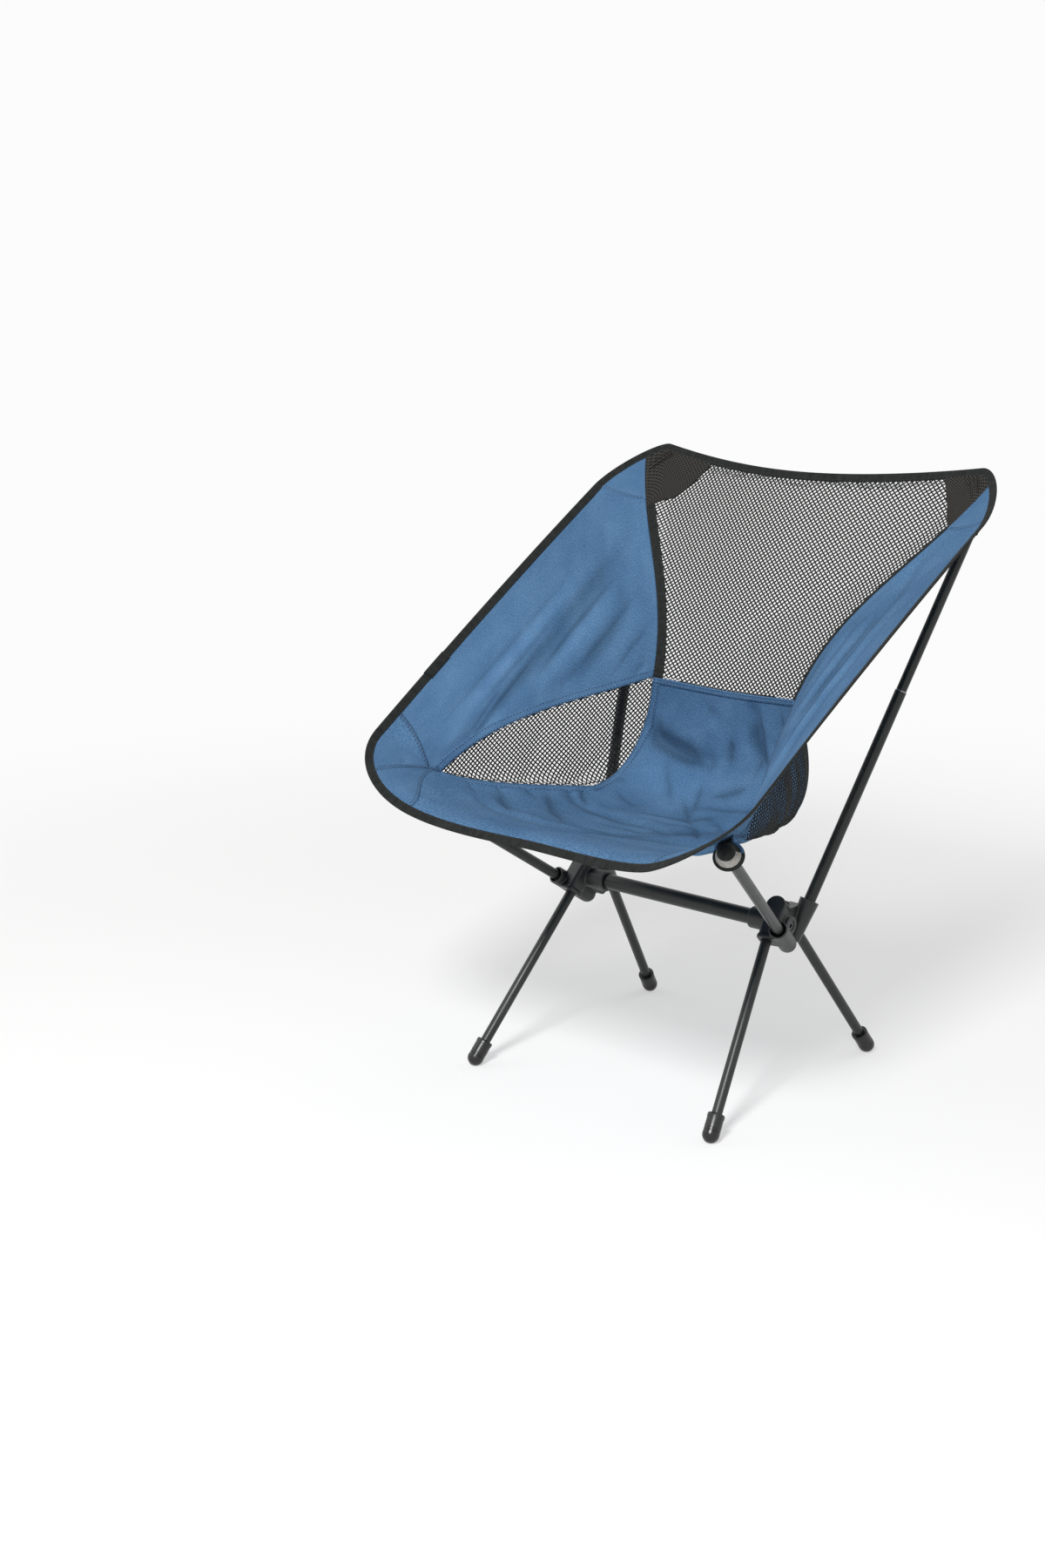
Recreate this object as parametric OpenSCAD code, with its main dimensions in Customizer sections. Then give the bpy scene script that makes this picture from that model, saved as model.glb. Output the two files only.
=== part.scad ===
// Ultralight backpacking chair: poles plugged into two moulded hubs on a crossbar,
// with a bucket sling of woven panels and net hung from the four upper pole tips.
// Millimetres, +Z up, front towards -Y, origin on the floor at the middle of the chair.

/* [Poles] */
// Outside diameter of a leg pole
leg_od = 11.4; // [10:0.1:12.4]
// Outside diameter of a front arm pole
arm_od = 11.8; // [10:0.1:12.6]
// Outside diameter of a lower back pole
back_lower_od = 13; // [11:0.1:13.6]
// Wall of a lower back pole, which the upper one slides into
back_lower_wall = 0.65; // [0.5:0.05:1]
// Outside diameter of the crossbar tube
crossbar_od = 17.6; // [15:0.1:19]
// Wall of the leg, arm, upper back and crossbar tubes
tube_wall = 1.2; // [0.8:0.1:1.6]
// Height of the top of the lower back poles above the floor
back_joint_height = 431; // [380:1:470]
// Length of upper back pole pushed into the lower one
back_overlap = 48; // [30:1:70]
// Diameter of the elastic cord inside the poles
cord_d = 3; // [2:0.1:4]

/* [Stance] */
// Height of the crossbar axis above the floor
crossbar_height = 192; // [182:1:205]
// Crossbar axis behind the middle of the chair
crossbar_y = 7.7; // [0:0.1:12]
// Half distance between the front feet
front_foot_x = 164; // [150:1:180]
// Front feet ahead of the crossbar
front_foot_reach = 168; // [150:1:190]
// Half distance between the rear feet
rear_foot_x = 157; // [145:1:175]
// Rear feet behind the crossbar
rear_foot_reach = 166; // [150:1:190]

/* [Upper frame] */
// Half distance between the arm tips
arm_tip_x = 220.5; // [205:0.5:235]
// Arm tips ahead of the crossbar
arm_tip_reach = 235; // [220:1:250]
// Height of the arm tips above the floor
arm_tip_height = 345; // [330:1:365]
// Half distance between the back pole tips
back_tip_x = 226; // [212:0.5:240]
// Back pole tips behind the crossbar
back_tip_behind = 252.5; // [235:0.5:270]
// Height of the back pole tips above the floor
back_tip_height = 650; // [620:1:680]
// Length of the round head on a pole tip
tip_head_len = 12; // [9:0.5:18]
// Head of a pole tip, wider than its pole by
tip_head_extra = 0.8; // [0.4:0.1:2]
// Length of a pole tip's plug inside its pole
tip_plug_len = 22; // [12:1:35]

/* [Hub] */
// Front leg axis from the middle of the chair, at crossbar height
front_leg_x = 132; // [130:0.5:134]
// Front leg axis ahead of the crossbar axis
front_leg_ahead = 13.4; // [12.8:0.1:15]
// Rear leg axis from the middle of the chair, at crossbar height
rear_leg_x = 124.5; // [122:0.5:125]
// Rear leg axis behind the crossbar axis
rear_leg_behind = 29.2; // [27:0.1:31]
// Fork point, where the arm and back pole axes meet, from the middle of the chair
fork_x = 135.5; // [134.5:0.5:138]
// Fork point behind the crossbar axis
fork_behind = 20; // [18:0.5:22]
// Fork point below the crossbar axis
fork_below = 32; // [30:0.5:34]
// Round end of the hub above the fork point, along the arm
fork_end = 12.5; // [9:0.5:14]
// Inner end of the crossbar collar from the middle of the chair
collar_start = 100; // [92:1:104]
// End of the crossbar tube from the middle of the chair
crossbar_end = 119; // [114:0.5:120]
// Wall of the crossbar collar
collar_wall = 3.4; // [2.5:0.1:4.5]
// Wall of the arm socket
arm_socket_wall = 4.3; // [3:0.1:5]
// Arm socket from the fork point to its mouth
arm_socket_reach = 65; // [58:0.5:70]
// Depth of the arm socket
arm_socket_depth = 44; // [35:0.5:46]
// Wall of the back pole socket at its rim
back_socket_wall = 4.4; // [3:0.1:5]
// Back pole socket from the fork point to its rim
back_socket_reach = 55.5; // [50:0.5:62]
// Depth of the back pole socket
back_socket_depth = 37; // [30:0.5:38]
// Side of the square housing round a front leg
leg_housing_side = 22; // [21:0.5:23]
// Height of the front leg socket's mouth above the floor
front_mouth_height = 178; // [173:0.5:181]
// Wall of the rear leg socket
rear_socket_wall = 3.8; // [3:0.1:4.5]
// Height of the rear leg socket's mouth above the floor
rear_mouth_height = 171; // [166:0.5:174]
// Depth of each leg socket
leg_socket_depth = 34; // [28:0.5:36]
// Closed end of a leg socket
socket_end = 5; // [4:0.5:7]
// Front leg housing further out than its leg by
housing_shift = 3.5; // [1:0.5:4]
// Thickness of the rim round the front leg socket
rim_t = 4.5; // [3:0.5:6]
// How far that rim stands out
rim_out = 1.2; // [0.6:0.1:2]
// Screw ear round the crossbar axis
ear_d = 21; // [19:0.5:24]
// Outer face of the screw ear from the middle of the chair
ear_face = 150; // [147:0.5:154]
// Head of the crossbar screw
screw_head_d = 10.6; // [8:0.1:12]
// Thickness of the screw head
screw_head_t = 2.4; // [1.5:0.1:3]
// Shank of the crossbar screw
screw_d = 5; // [4:0.1:5.4]
// Length of the plug in each end of the crossbar
plug_len = 17; // [12:0.5:22]

/* [Feet] */
// Outside diameter of a rubber foot
foot_od = 18.4; // [16:0.1:22]
// Length of a rubber foot, to the centre of its round end
foot_len = 22; // [16:0.5:30]
// Rubber below the end of the leg, up to the centre of the round end
foot_sole = 2; // [1:0.5:5]
// How much of the round end is worn flat on the floor
foot_flat = 0.8; // [0.4:0.1:1.5]

/* [Sling] */
// Thickness of the cloth and net
cloth_t = 0.8; // [0.6:0.1:1]
// Width of the binding round the edge
binding_w = 10; // [8:0.5:14]
// Thickness of the binding
binding_t = 2.4; // [1.8:0.1:3]
// Ends of the seam between back net and seat, from the middle of the chair
seat_seam_x = 97; // [85:1:110]
// Ends of that seam behind the crossbar
seat_seam_behind = 77; // [65:1:90]
// Ends of that seam above the floor
seat_seam_height = 420; // [400:1:435]
// Middle of that seam further back than its ends
seat_seam_bow = 11; // [4:1:25]
// Middle of that seam lower than its ends
seat_seam_dip = 5; // [0:1:15]
// Low corner of a side net from the middle of the chair
low_corner_x = 125; // [110:1:135]
// Low corner of a side net above the floor
low_corner_height = 301; // [290:1:320]
// Low corner of a side net ahead of the crossbar
low_corner_ahead = 2; // [-8:1:12]
// Bottom of the seat lower than those corners
seat_sag = 28; // [15:1:40]
// Front point of a side net inside the arm tip
net_point_in = 18.5; // [14:0.5:24]
// Front point of a side net behind the arm tip
net_point_back = 63; // [55:1:72]
// Front point of a side net below the arm tip
net_point_below = 6; // [4:0.5:9]
// Middle of the front hem lower than the arm tips
hem_drop = 36.5; // [25:0.5:45]
// Middle of the front hem ahead of the arm tips
hem_ahead = 25.5; // [18:0.5:35]
// Middle of the top edge lower than the back pole tips
top_dip = 0.5; // [0:0.5:15]
// Middle of the top edge ahead of the back pole tips
top_ahead = 29.5; // [15:0.5:40]
// Top corner of the sling inside the back pole tip
top_corner_in = 16.2; // [12:0.1:21]
// Top corner of the sling behind the back pole tip
top_corner_behind = 7.5; // [4:0.1:11]
// Top corner of the sling above the back pole tip
top_corner_above = 15; // [12:0.5:18]
// Start of a wing's edge outside the back pole tip
wing_start_out = 36.4; // [30:0.1:42]
// Start of a wing's edge ahead of the back pole tip
wing_start_ahead = 82.2; // [72:0.1:92]
// Start of a wing's edge below the back pole tip
wing_start_below = 33.4; // [26:0.1:40]
// End of a wing's edge outside the arm tip
wing_end_out = 28; // [24:0.5:32]
// End of a wing's edge behind the arm tip
wing_end_behind = 11; // [7:0.5:15]
// End of a wing's edge above the arm tip
wing_end_above = 45.8; // [40:0.1:52]
// Front corner of the hem inside the arm tip
hem_corner_in = 58.6; // [52:0.1:66]
// Front corner of the hem ahead of the arm tip
hem_corner_ahead = 37.7; // [32:0.1:43]
// Front corner of the hem below the arm tip
hem_corner_below = 24.3; // [20:0.1:29]
// How far above the seat the front binding leans
hem_lean = 240; // [0:10:280]
// Roundness of the edge behind a wing
back_round = 41.5; // [34:0.5:48]
// Roundness of the edge ahead of a wing
front_round = 44; // [36:0.5:50]
// How far the edge of a side wing bows up
wing_bow = 4.5; // [0:0.5:8]
// How far the arm tips lift the seam at the front corners
corner_lift = 4; // [3:0.5:9]
// How far a side net bellies out
net_belly = 9; // [0:1:16]
// Depth of the main folds in the side wings
wing_fold = 3.5; // [0:0.5:7]
// Depth of the main folds in the seat
seat_fold = 6; // [0:0.5:7]
// Half width of the main folds
fold_width = 12; // [9:0.5:18]
// Cloth left smooth along the seams
fold_rim = 24; // [12:1:36]
// Rows and columns of gaps in the back net
back_gaps = 10; // [6:1:11]
// Rows and columns of gaps in each side net
side_gaps = 6; // [4:1:7]
// Length of the pocket over an arm tip
arm_pocket_len = 20; // [16:1:40]
// How far the mouth of the pocket over an arm tip stands off
arm_pocket_flare = 7; // [0:0.5:10]
// Length of the pocket over a back pole tip
back_pocket_len = 58; // [30:1:70]
// Wall of the pockets
pocket_wall = 1; // [0.8:0.1:1.6]

/* [Clearances] */
// Radial room between a leg and its socket
slide_room = 0.1; // [0.05:0.05:0.1]
// Radial room between pieces that are pushed together for good
seat_room = 0.05; // [0.02:0.01:0.1]
// Gap between neighbouring pieces that only meet
meet_gap = 0.3; // [0.2:0.05:0.4]
// Room round a pole tip in its pocket
pocket_room = 0.4; // [0.3:0.1:0.8]
// Cloth kept back from each side of a seam
seam_gap = 0.5; // [0.45:0.05:0.6]

/* [Hidden] */
$fn = 48;

black = "#2b2d2c";
blue = "#4d6f9b";
axis_z = crossbar_height;
far = 400;

// Vectors and curves
function unit(v) = v / norm(v);
function lerp(a, b, t) = a + (b - a) * t;
function bez(p, t) = let (s = 1 - t)
    s * s * s * p[0] + 3 * s * s * t * p[1] + 3 * s * t * t * p[2] + t * t * t * p[3];
function flip(p) = [-p.x, p.y, p.z];
function hump(t) = 4 * t * (1 - t);
function at_height(p, d, z) = p + d * (z - p.z) / d.z;

// Pole axes on the right side, as points and upward directions
fork = [fork_x, fork_behind, axis_z - fork_below];
arm_end = [arm_tip_x, -arm_tip_reach, arm_tip_height];
back_end = [back_tip_x, back_tip_behind, back_tip_height];
arm_dir = unit(arm_end - fork);
back_dir = unit(back_end - fork);
front_top = [front_leg_x, -front_leg_ahead, axis_z];
front_dir = unit(front_top - [front_foot_x, -front_foot_reach, 0]);
rear_top = [rear_leg_x, rear_leg_behind, axis_z];
rear_dir = unit(rear_top - [rear_foot_x, rear_foot_reach, 0]);

// Sockets and pole ends along those axes
front_mouth = at_height(front_top, front_dir, front_mouth_height);
rear_mouth = at_height(rear_top, rear_dir, rear_mouth_height);
leg_bore_r = leg_od / 2 + slide_room;
rear_socket_r = leg_bore_r + rear_socket_wall;
arm_bore_r = arm_od / 2 + seat_room;
arm_socket_r = arm_bore_r + arm_socket_wall;
back_bore_r = back_lower_od / 2 + seat_room;
back_socket_r = back_bore_r + back_socket_wall;
arm_start = fork + arm_dir * (arm_socket_reach - arm_socket_depth);
back_start = fork + back_dir * (back_socket_reach - back_socket_depth);
back_joint = at_height(back_start, back_dir, back_joint_height);
back_upper_od = back_lower_od - 2 * back_lower_wall - 2 * seat_room;
foot_r = foot_od / 2;
foot_height = foot_r - foot_flat;
tip_plug_gap = 0.15;
cord_anchor = socket_end - 2;

// Sling corners and seams on the right side
top_mid = [0, back_tip_behind - top_ahead, back_tip_height - top_dip];
top_corner = back_end + [-top_corner_in, top_corner_behind, top_corner_above];
wing_start = back_end + [wing_start_out, -wing_start_ahead, -wing_start_below];
wing_end = arm_end + [wing_end_out, wing_end_behind, wing_end_above];
hem_corner = arm_end - [hem_corner_in, hem_corner_ahead, hem_corner_below];
hem_mid = [0, -arm_tip_reach - hem_ahead, arm_tip_height - hem_drop];
wing_dir = unit(wing_start - wing_end);
seam_end = [seat_seam_x, seat_seam_behind, seat_seam_height];
seam_mid = [0, seat_seam_behind + seat_seam_bow, seat_seam_height - seat_seam_dip];
low_corner = [low_corner_x, -low_corner_ahead, low_corner_height];
net_point = arm_end + [-net_point_in, net_point_back, -net_point_below];
seat_mid = [0, low_corner.y, low_corner_height - seat_sag];

// The outer edge, from the middle of the top round to the middle of the front hem
top_turn = [53.4, 12.4, 7.9];
hem_turn = [-44.6, 13.7, -19.1];
bow = [0, 0, wing_bow];
edges = [
    [top_mid, top_mid + [80, 0, 0], top_corner - top_turn, top_corner],
    [top_corner, top_corner + 0.36 * top_turn, wing_start + back_round * wing_dir, wing_start],
    [wing_start, lerp(wing_start, wing_end, 1 / 3) + bow,
        lerp(wing_start, wing_end, 2 / 3) + bow, wing_end],
    [wing_end, wing_end - front_round * wing_dir, hem_corner - hem_turn, hem_corner],
    [hem_corner, hem_corner + 0.93 * hem_turn, hem_mid + [37.5, 0, 0], hem_mid]
];
edge_steps = [8, 20, 12, 20, 8];
seam_low = [seam_end, seam_end + [-30, 7, -2], seam_mid + [38, 0, 0], seam_mid];
net_top = [seam_end, seam_end + [36, -84, -19], net_point + [-24, 76, 60], net_point];
net_low = [low_corner, low_corner + [20, -46, 8], net_point + [-28, 47, -22], net_point];
net_back = [seam_end, seam_end + [20, 21, -80], low_corner + [4, 62, -6], low_corner];

function edge(k, t) = bez(edges[k], t);
function guide(k, t) =
    k == 0 ? lerp(seam_mid, seam_end, t) :
    k == 1 ? seam_end :
    k == 2 ? bez(net_top, t) :
    k == 3 ? lerp(net_point, low_corner, t) + [0, 0, hem_lean * t * t] :
    lerp(low_corner, seat_mid, t) + [0, 0, hem_lean];
function tangent(k, t) = unit(edge(k, min(1, t + 0.01)) - edge(k, max(0, t - 0.01)));
function inward(k, t) = let (a = tangent(k, t), g = guide(k, t) - edge(k, t))
    unit(g - (g * a) * a);
function inner(k, t) = edge(k, t) + binding_w * inward(k, t);

// Where the binding's inner line passes from back net to wing and from wing to seat
net_stop = 0.4;
wing_stop = 0.4;
turn = 0.5;
net_corner = inner(1, net_stop);
wing_seam = [net_corner, net_corner + [-36, -64, -78], seam_end + [15, 49, 100], seam_end];

// Panel borders as functions of 0 to 1
function two_sided(u, half) = let (p = half(abs(2 * u - 1))) u < 0.5 ? flip(p) : p;
function back_top(u) = two_sided(u,
    function(t) t < 0.9 ? inner(0, t / 0.9) : inner(1, (t - 0.9) / 0.1 * net_stop));
function back_low(u) = two_sided(u, function(t) bez(seam_low, 1 - t));
function corner_seam(t) = lerp(net_point, inner(3, turn), t) + [0, 0, corner_lift * hump(t)];
function wing_outer(u) =
    u < 0.2 ? inner(1, net_stop + (1 - net_stop) * u / 0.2) :
    u < 0.8 ? inner(2, (u - 0.2) / 0.6) :
    inner(3, (u - 0.8) / 0.2 * wing_stop);
function wing_inner(u) = u < 0.8 ? bez(net_top, u / 0.8) : corner_seam((u - 0.8) / 0.2);
function seat_side(v) =
    v < 0.42 ? bez(net_back, v / 0.42) :
    v < 0.86 ? bez(net_low, (v - 0.42) / 0.44) :
    corner_seam((v - 0.86) / 0.14);
function seat_front(u) = two_sided(u,
    function(t) t > 0.7 ? inner(3, 1 - (1 - turn) * (t - 0.7) / 0.3) : inner(4, 1 - t / 0.7));

// Part of a wing's and a side net's patch that is cloth
wing_reach = 0.99;
net_reach = [0.015, 0.94];
net_depth = [0.025, 0.97];

// A patch between four borders, with the cloth kept back from the seams
function blend(c0, c1, d0, d1, u, v) =
    lerp(c0(u), c1(u), v) + lerp(d0(v), d1(v), u)
    - lerp(lerp(c0(0), c0(1), u), lerp(c1(0), c1(1), u), v);
function kept(a, b, t) = let (k = seam_gap / max(norm(a - b), 3 * seam_gap)) k + (1 - 2 * k) * t;
function patch(c0, c1, d0, d1, u, v) =
    let (uu = kept(d0(v), d1(v), u), vv = kept(c0(uu), c1(uu), v))
    blend(c0, c1, d0, d1, uu, vv);

// Main folds: a line over the panel, its half width and its depth as shares of the named ones
wing_folds = [
    [[[0.04, 0.37], [0.29, 0.53], [0.5, 0.75], [0.63, 0.93]], 1, 1],
    [[[0.1, 0.7], [0.27, 0.87], [0.33, 0.91]], 0.85, 0.8],
    [[[0.14, 0.6], [0.3, 0.72], [0.4, 0.84]], 1.1, -0.6],
    [[[0.22, 0.4], [0.45, 0.5], [0.57, 0.6], [0.71, 0.8]], 1.5, -0.6]
];
seat_folds = [
    [[[0.01, 0.1], [0.1, 0.138], [0.22, 0.154], [0.4, 0.171]], 1, 1.3],
    [[[0.02, 0.24], [0.3, 0.26], [0.5, 0.3]], 2, -0.5],
    [[[0.05, 0.51], [0.36, 0.55], [0.57, 0.56], [0.68, 0.4]], 0.8, 0.7],
    [[[0.16, 0.8], [0.38, 0.75], [0.55, 0.67], [0.8, 0.6]], 1, 0.7],
    [[[0.64, 0.03], [0.64, 0.1], [0.7, 0.15]], 0.7, 0.8]
];
wing_size = [norm(wing_outer(1) - wing_outer(0)), norm(wing_outer(0.4) - wing_inner(0.4))];
seat_size = [2 * low_corner_x, norm(seat_front(0.5) - low_corner) + norm(low_corner - seam_mid)];
function ease(t) = let (x = max(0, min(1, t))) x * x * (3 - 2 * x);
function off_line(p, a, b) = let (d = b - a) norm(p - a - max(0, min(1, (p - a) * d / (d * d))) * d);
function off_fold(p, line, size) = min([for (i = [0 : len(line) - 2])
    off_line(p, [line[i].x * size.x, line[i].y * size.y],
        [line[i + 1].x * size.x, line[i + 1].y * size.y])]);
function fold_depth(folds, size, u, v) = let (
        p = [u * size.x, v * size.y], rim = min(p.x, size.x - p.x, p.y, size.y - p.y))
    ease(rim / fold_rim) * ([for (f = folds) 1] * [for (f = folds)
        f[2] * exp(-pow(off_fold(p, f[0], size) / (f[1] * fold_width), 2))]);
function folded(point, u, v, depth) = let (e = 0.01, p = point(u, v))
    depth == 0 ? p : p + depth * unit(cross(
        point(u + e, v) - point(u - e, v), point(u, v + e) - point(u, v - e)));

function wing_point(u, v) = folded(
    function(x, y) patch(function(t) wing_outer(t), function(t) wing_inner(t),
        function(t) bez(wing_seam, t), function(t) lerp(wing_outer(1), wing_inner(1), t), x, y),
    wing_reach * u, v, wing_fold * fold_depth(wing_folds, wing_size, u, v));
function side_net_point(u, v) = let (
        w = lerp(net_reach[0], net_reach[1], u), x = lerp(net_depth[0], net_depth[1], v))
    patch(function(t) bez(net_top, t), function(t) bez(net_low, t),
        function(t) bez(net_back, t), function(t) net_point, w, x)
    + net_belly * hump(v) * hump(u * 0.9) * [0.75, 0.1, -0.65];
function seat_point(u, v) = folded(
    function(x, y) patch(function(t) back_low(t), function(t) seat_front(t),
        function(t) flip(seat_side(t)), function(t) seat_side(t), x, y),
    u, v, seat_fold * fold_depth(seat_folds, seat_size, u, v));
function back_point(u, v) =
    patch(function(t) back_top(t), function(t) back_low(t),
        function(t) flip(bez(wing_seam, t)), function(t) bez(wing_seam, t), u, v);

// Normals of a grid of points, taken from each point's neighbours
function grid_normal(g, i, j) = let (
        m = len(g) - 1, n = len(g[0]) - 1,
        a = g[min(m, i + 1)][j] - g[max(0, i - 1)][j],
        b = g[i][min(n, j + 1)] - g[i][max(0, j - 1)])
    unit(cross(a, b));

// A thin sheet over a grid of points, left open where gap(i, j) is true
module sheet(g, t, gap) {
    m = len(g);
    n = len(g[0]);
    function id(i, j, s) = (i * n + j) * 2 + s;
    function full(i, j) = i >= 0 && j >= 0 && i < m - 1 && j < n - 1 && !gap(i, j);
    points = [for (i = [0 : m - 1], j = [0 : n - 1], s = [-1, 1])
        g[i][j] + s * t / 2 * grid_normal(g, i, j)];
    function quad(a, b, c, d) = [[a, b, c], [a, c, d]];
    function wall(a, b) = quad([a.x, a.y, 0], [b.x, b.y, 0], [b.x, b.y, 1], [a.x, a.y, 1]);
    corners = [for (i = [0 : m - 2], j = [0 : n - 2]) if (full(i, j)) each concat(
        quad([i, j, 1], [i, j + 1, 1], [i + 1, j + 1, 1], [i + 1, j, 1]),
        quad([i, j, 0], [i + 1, j, 0], [i + 1, j + 1, 0], [i, j + 1, 0]),
        full(i - 1, j) ? [] : wall([i, j], [i, j + 1]),
        full(i + 1, j) ? [] : wall([i + 1, j + 1], [i + 1, j]),
        full(i, j - 1) ? [] : wall([i + 1, j], [i, j]),
        full(i, j + 1) ? [] : wall([i, j + 1], [i + 1, j + 1]))];
    polyhedron(points, [for (f = corners) [for (c = f) id(c.x, c.y, c.z)]]);
}
function grid(point, m, n) = [for (i = [0 : m]) [for (j = [0 : n]) point(i / m, j / n)]];

// Bars and gaps of a net along one side: gap k lies between lines 2k + 1 and 2k + 2
net_bar = 0.3;
function net_line(k, count) = (floor(k / 2) + (k % 2) * net_bar) / (count + net_bar);
function net_grid(point, m, n) =
    [for (i = [0 : 2 * m + 1]) [for (j = [0 : 2 * n + 1]) point(net_line(i, m), net_line(j, n))]];

// A band along the edge, from one edge run to another
module band(rings) {
    n = len(rings);
    points = [for (r = rings) each r];
    sides = [for (i = [0 : n - 2], s = [0 : 3]) let (a = 4 * i + s, b = 4 * i + (s + 1) % 4)
        each [[a, a + 4, b], [b, a + 4, b + 4]]];
    last = 4 * (n - 1);
    ends = [[0, 1, 2], [0, 2, 3], [last + 2, last + 1, last], [last + 3, last + 2, last]];
    polyhedron(points, concat(sides, ends));
}
function ring(k, t) = let (
        d = inward(k, t), p = edge(k, t), h = binding_t / 2 * unit(cross(tangent(k, t), d)))
    [p - h, p + d * binding_w - h, p + d * binding_w + h, p + h];
function mirrored(list) = [for (r = list) [for (p = r) flip(p)]];
function reversed(list) = [for (i = [len(list) - 1 : -1 : 0]) list[i]];
function run(k, from) = [for (i = [from : edge_steps[k]]) ring(k, i / edge_steps[k])];
function short_run(k, from) = let (
        end = 1 - 2 * meet_gap / (3 * norm(edges[k][3] - edges[k][2])), n = edge_steps[k])
    [for (i = [from : n]) ring(k, end * i / n)];

// Places
module on_axis(p, d) {
    translate(p) rotate([0, acos(d.z), atan2(d.y, d.x)]) children();
}
module side(name) {
    translate([0, crossbar_y, 0]) mirror([name == "left" ? 1 : 0, 0, 0]) children();
}
module across(x0, x1, r) {
    translate([x0, 0, axis_z]) rotate([0, 90, 0]) cylinder(r = r, h = x1 - x0);
}
module pipe(p, d, len, od, wall) {
    on_axis(p, d) difference() {
        cylinder(d = od, h = len);
        translate([0, 0, -1]) cylinder(d = od - 2 * wall, h = len + 2);
    }
}

// Hub: collar, leg sockets below, forked arm and back pole sockets above
module rounded_bar(a, r, h) {
    for (x = [-1, 1], y = [-1, 1])
        translate([x * (a / 2 - r), y * (a / 2 - r), 0]) cylinder(r = r, h = h);
    translate([-a / 2 + r, -a / 2, 0]) cube([a - 2 * r, a, h]);
    translate([-a / 2, -a / 2 + r, 0]) cube([a, a - 2 * r, h]);
}
module front_housing() {
    corner_r = 4;
    dome_r = leg_housing_side / 2;
    body = leg_socket_depth + socket_end;
    on_axis(front_mouth + [housing_shift, 0, 0], front_dir) {
        rounded_bar(leg_housing_side, corner_r, body);
        rounded_bar(leg_housing_side + 2 * rim_out, corner_r + rim_out, rim_t);
        translate([-dome_r, 0, body]) rotate([0, 90, 0]) cylinder(r = dome_r, h = leg_housing_side);
    }
}
module rear_housing() {
    on_axis(rear_mouth, rear_dir) cylinder(r = rear_socket_r, h = leg_socket_depth + socket_end);
}
module fork_sockets() {
    fork_r = 8;
    on_axis(fork + fork_end * arm_dir, arm_dir) {
        cylinder(r = arm_socket_r, h = arm_socket_reach - fork_end);
        sphere(r = arm_socket_r);
    }
    on_axis(fork, back_dir) translate([0, 0, fork_r])
        cylinder(r1 = fork_r, r2 = back_socket_r, h = back_socket_reach - fork_r);
}
module web(points, x0, x1, r) {
    hull() for (p = points) translate([x0, p.x, p.y]) rotate([0, 90, 0])
        cylinder(r = r, h = x1 - x0, $fn = 32);
}
module hub_body() {
    web_r = 7;
    web_high = 8;
    web_low = 18;
    across(collar_start, front_leg_x, crossbar_od / 2 + seat_room + collar_wall);
    across(rear_leg_x, ear_face, ear_d / 2);
    front_housing();
    rear_housing();
    fork_sockets();
    web([[0, axis_z + web_high], [rear_leg_behind + web_high, axis_z + 6],
        [fork_behind, axis_z - web_low], [0, axis_z - 6]], rear_leg_x - 3, fork_x + 4, web_r);
}
module hub_bores() {
    mouth_r = arm_bore_r + 2;
    mouth_depth = 8;
    across(collar_start - 1, crossbar_end + meet_gap, crossbar_od / 2 + seat_room);
    across(collar_start, ear_face, screw_d / 2 + slide_room);
    across(ear_face - screw_head_t - 1, ear_face + far, screw_head_d / 2 + meet_gap);
    for (s = [[front_mouth, front_dir], [rear_mouth, rear_dir]]) on_axis(s[0], s[1]) {
        translate([0, 0, -far]) cylinder(r = leg_bore_r, h = far + leg_socket_depth);
        cylinder(d = cord_d + 2 * seat_room, h = leg_socket_depth + cord_anchor);
    }
    on_axis(arm_start, arm_dir) {
        cylinder(r = arm_bore_r, h = far);
        translate([0, 0, arm_socket_depth - mouth_depth]) cylinder(r = mouth_r, h = far);
    }
    on_axis(back_start, back_dir) cylinder(r = back_bore_r, h = far);
}
module hub(name) {
    color(black) side(name) difference() {
        hub_body();
        hub_bores();
    }
}

// Crossbar with a plug and a screw at each end
module crossbar_tube() {
    color(black) translate([0, crossbar_y, 0]) difference() {
        across(-crossbar_end, crossbar_end, crossbar_od / 2);
        across(-far, far, crossbar_od / 2 - tube_wall);
    }
}
module crossbar_plug(name) {
    color(black) side(name) difference() {
        across(crossbar_end - plug_len, crossbar_end, crossbar_od / 2 - tube_wall - seat_room);
        across(0, far, screw_d / 2 + seat_room);
    }
}
module crossbar_screw(name) {
    socket_d = screw_head_d * 0.5;
    head_start = ear_face - screw_head_t - 1;
    color("#55585a") side(name) difference() {
        union() {
            across(head_start, head_start + screw_head_t, screw_head_d / 2);
            across(crossbar_end - plug_len, head_start, screw_d / 2);
        }
        translate([head_start + screw_head_t * 0.4, 0, axis_z]) rotate([0, 90, 0])
            cylinder(d = socket_d, h = far, $fn = 6);
    }
}

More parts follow.
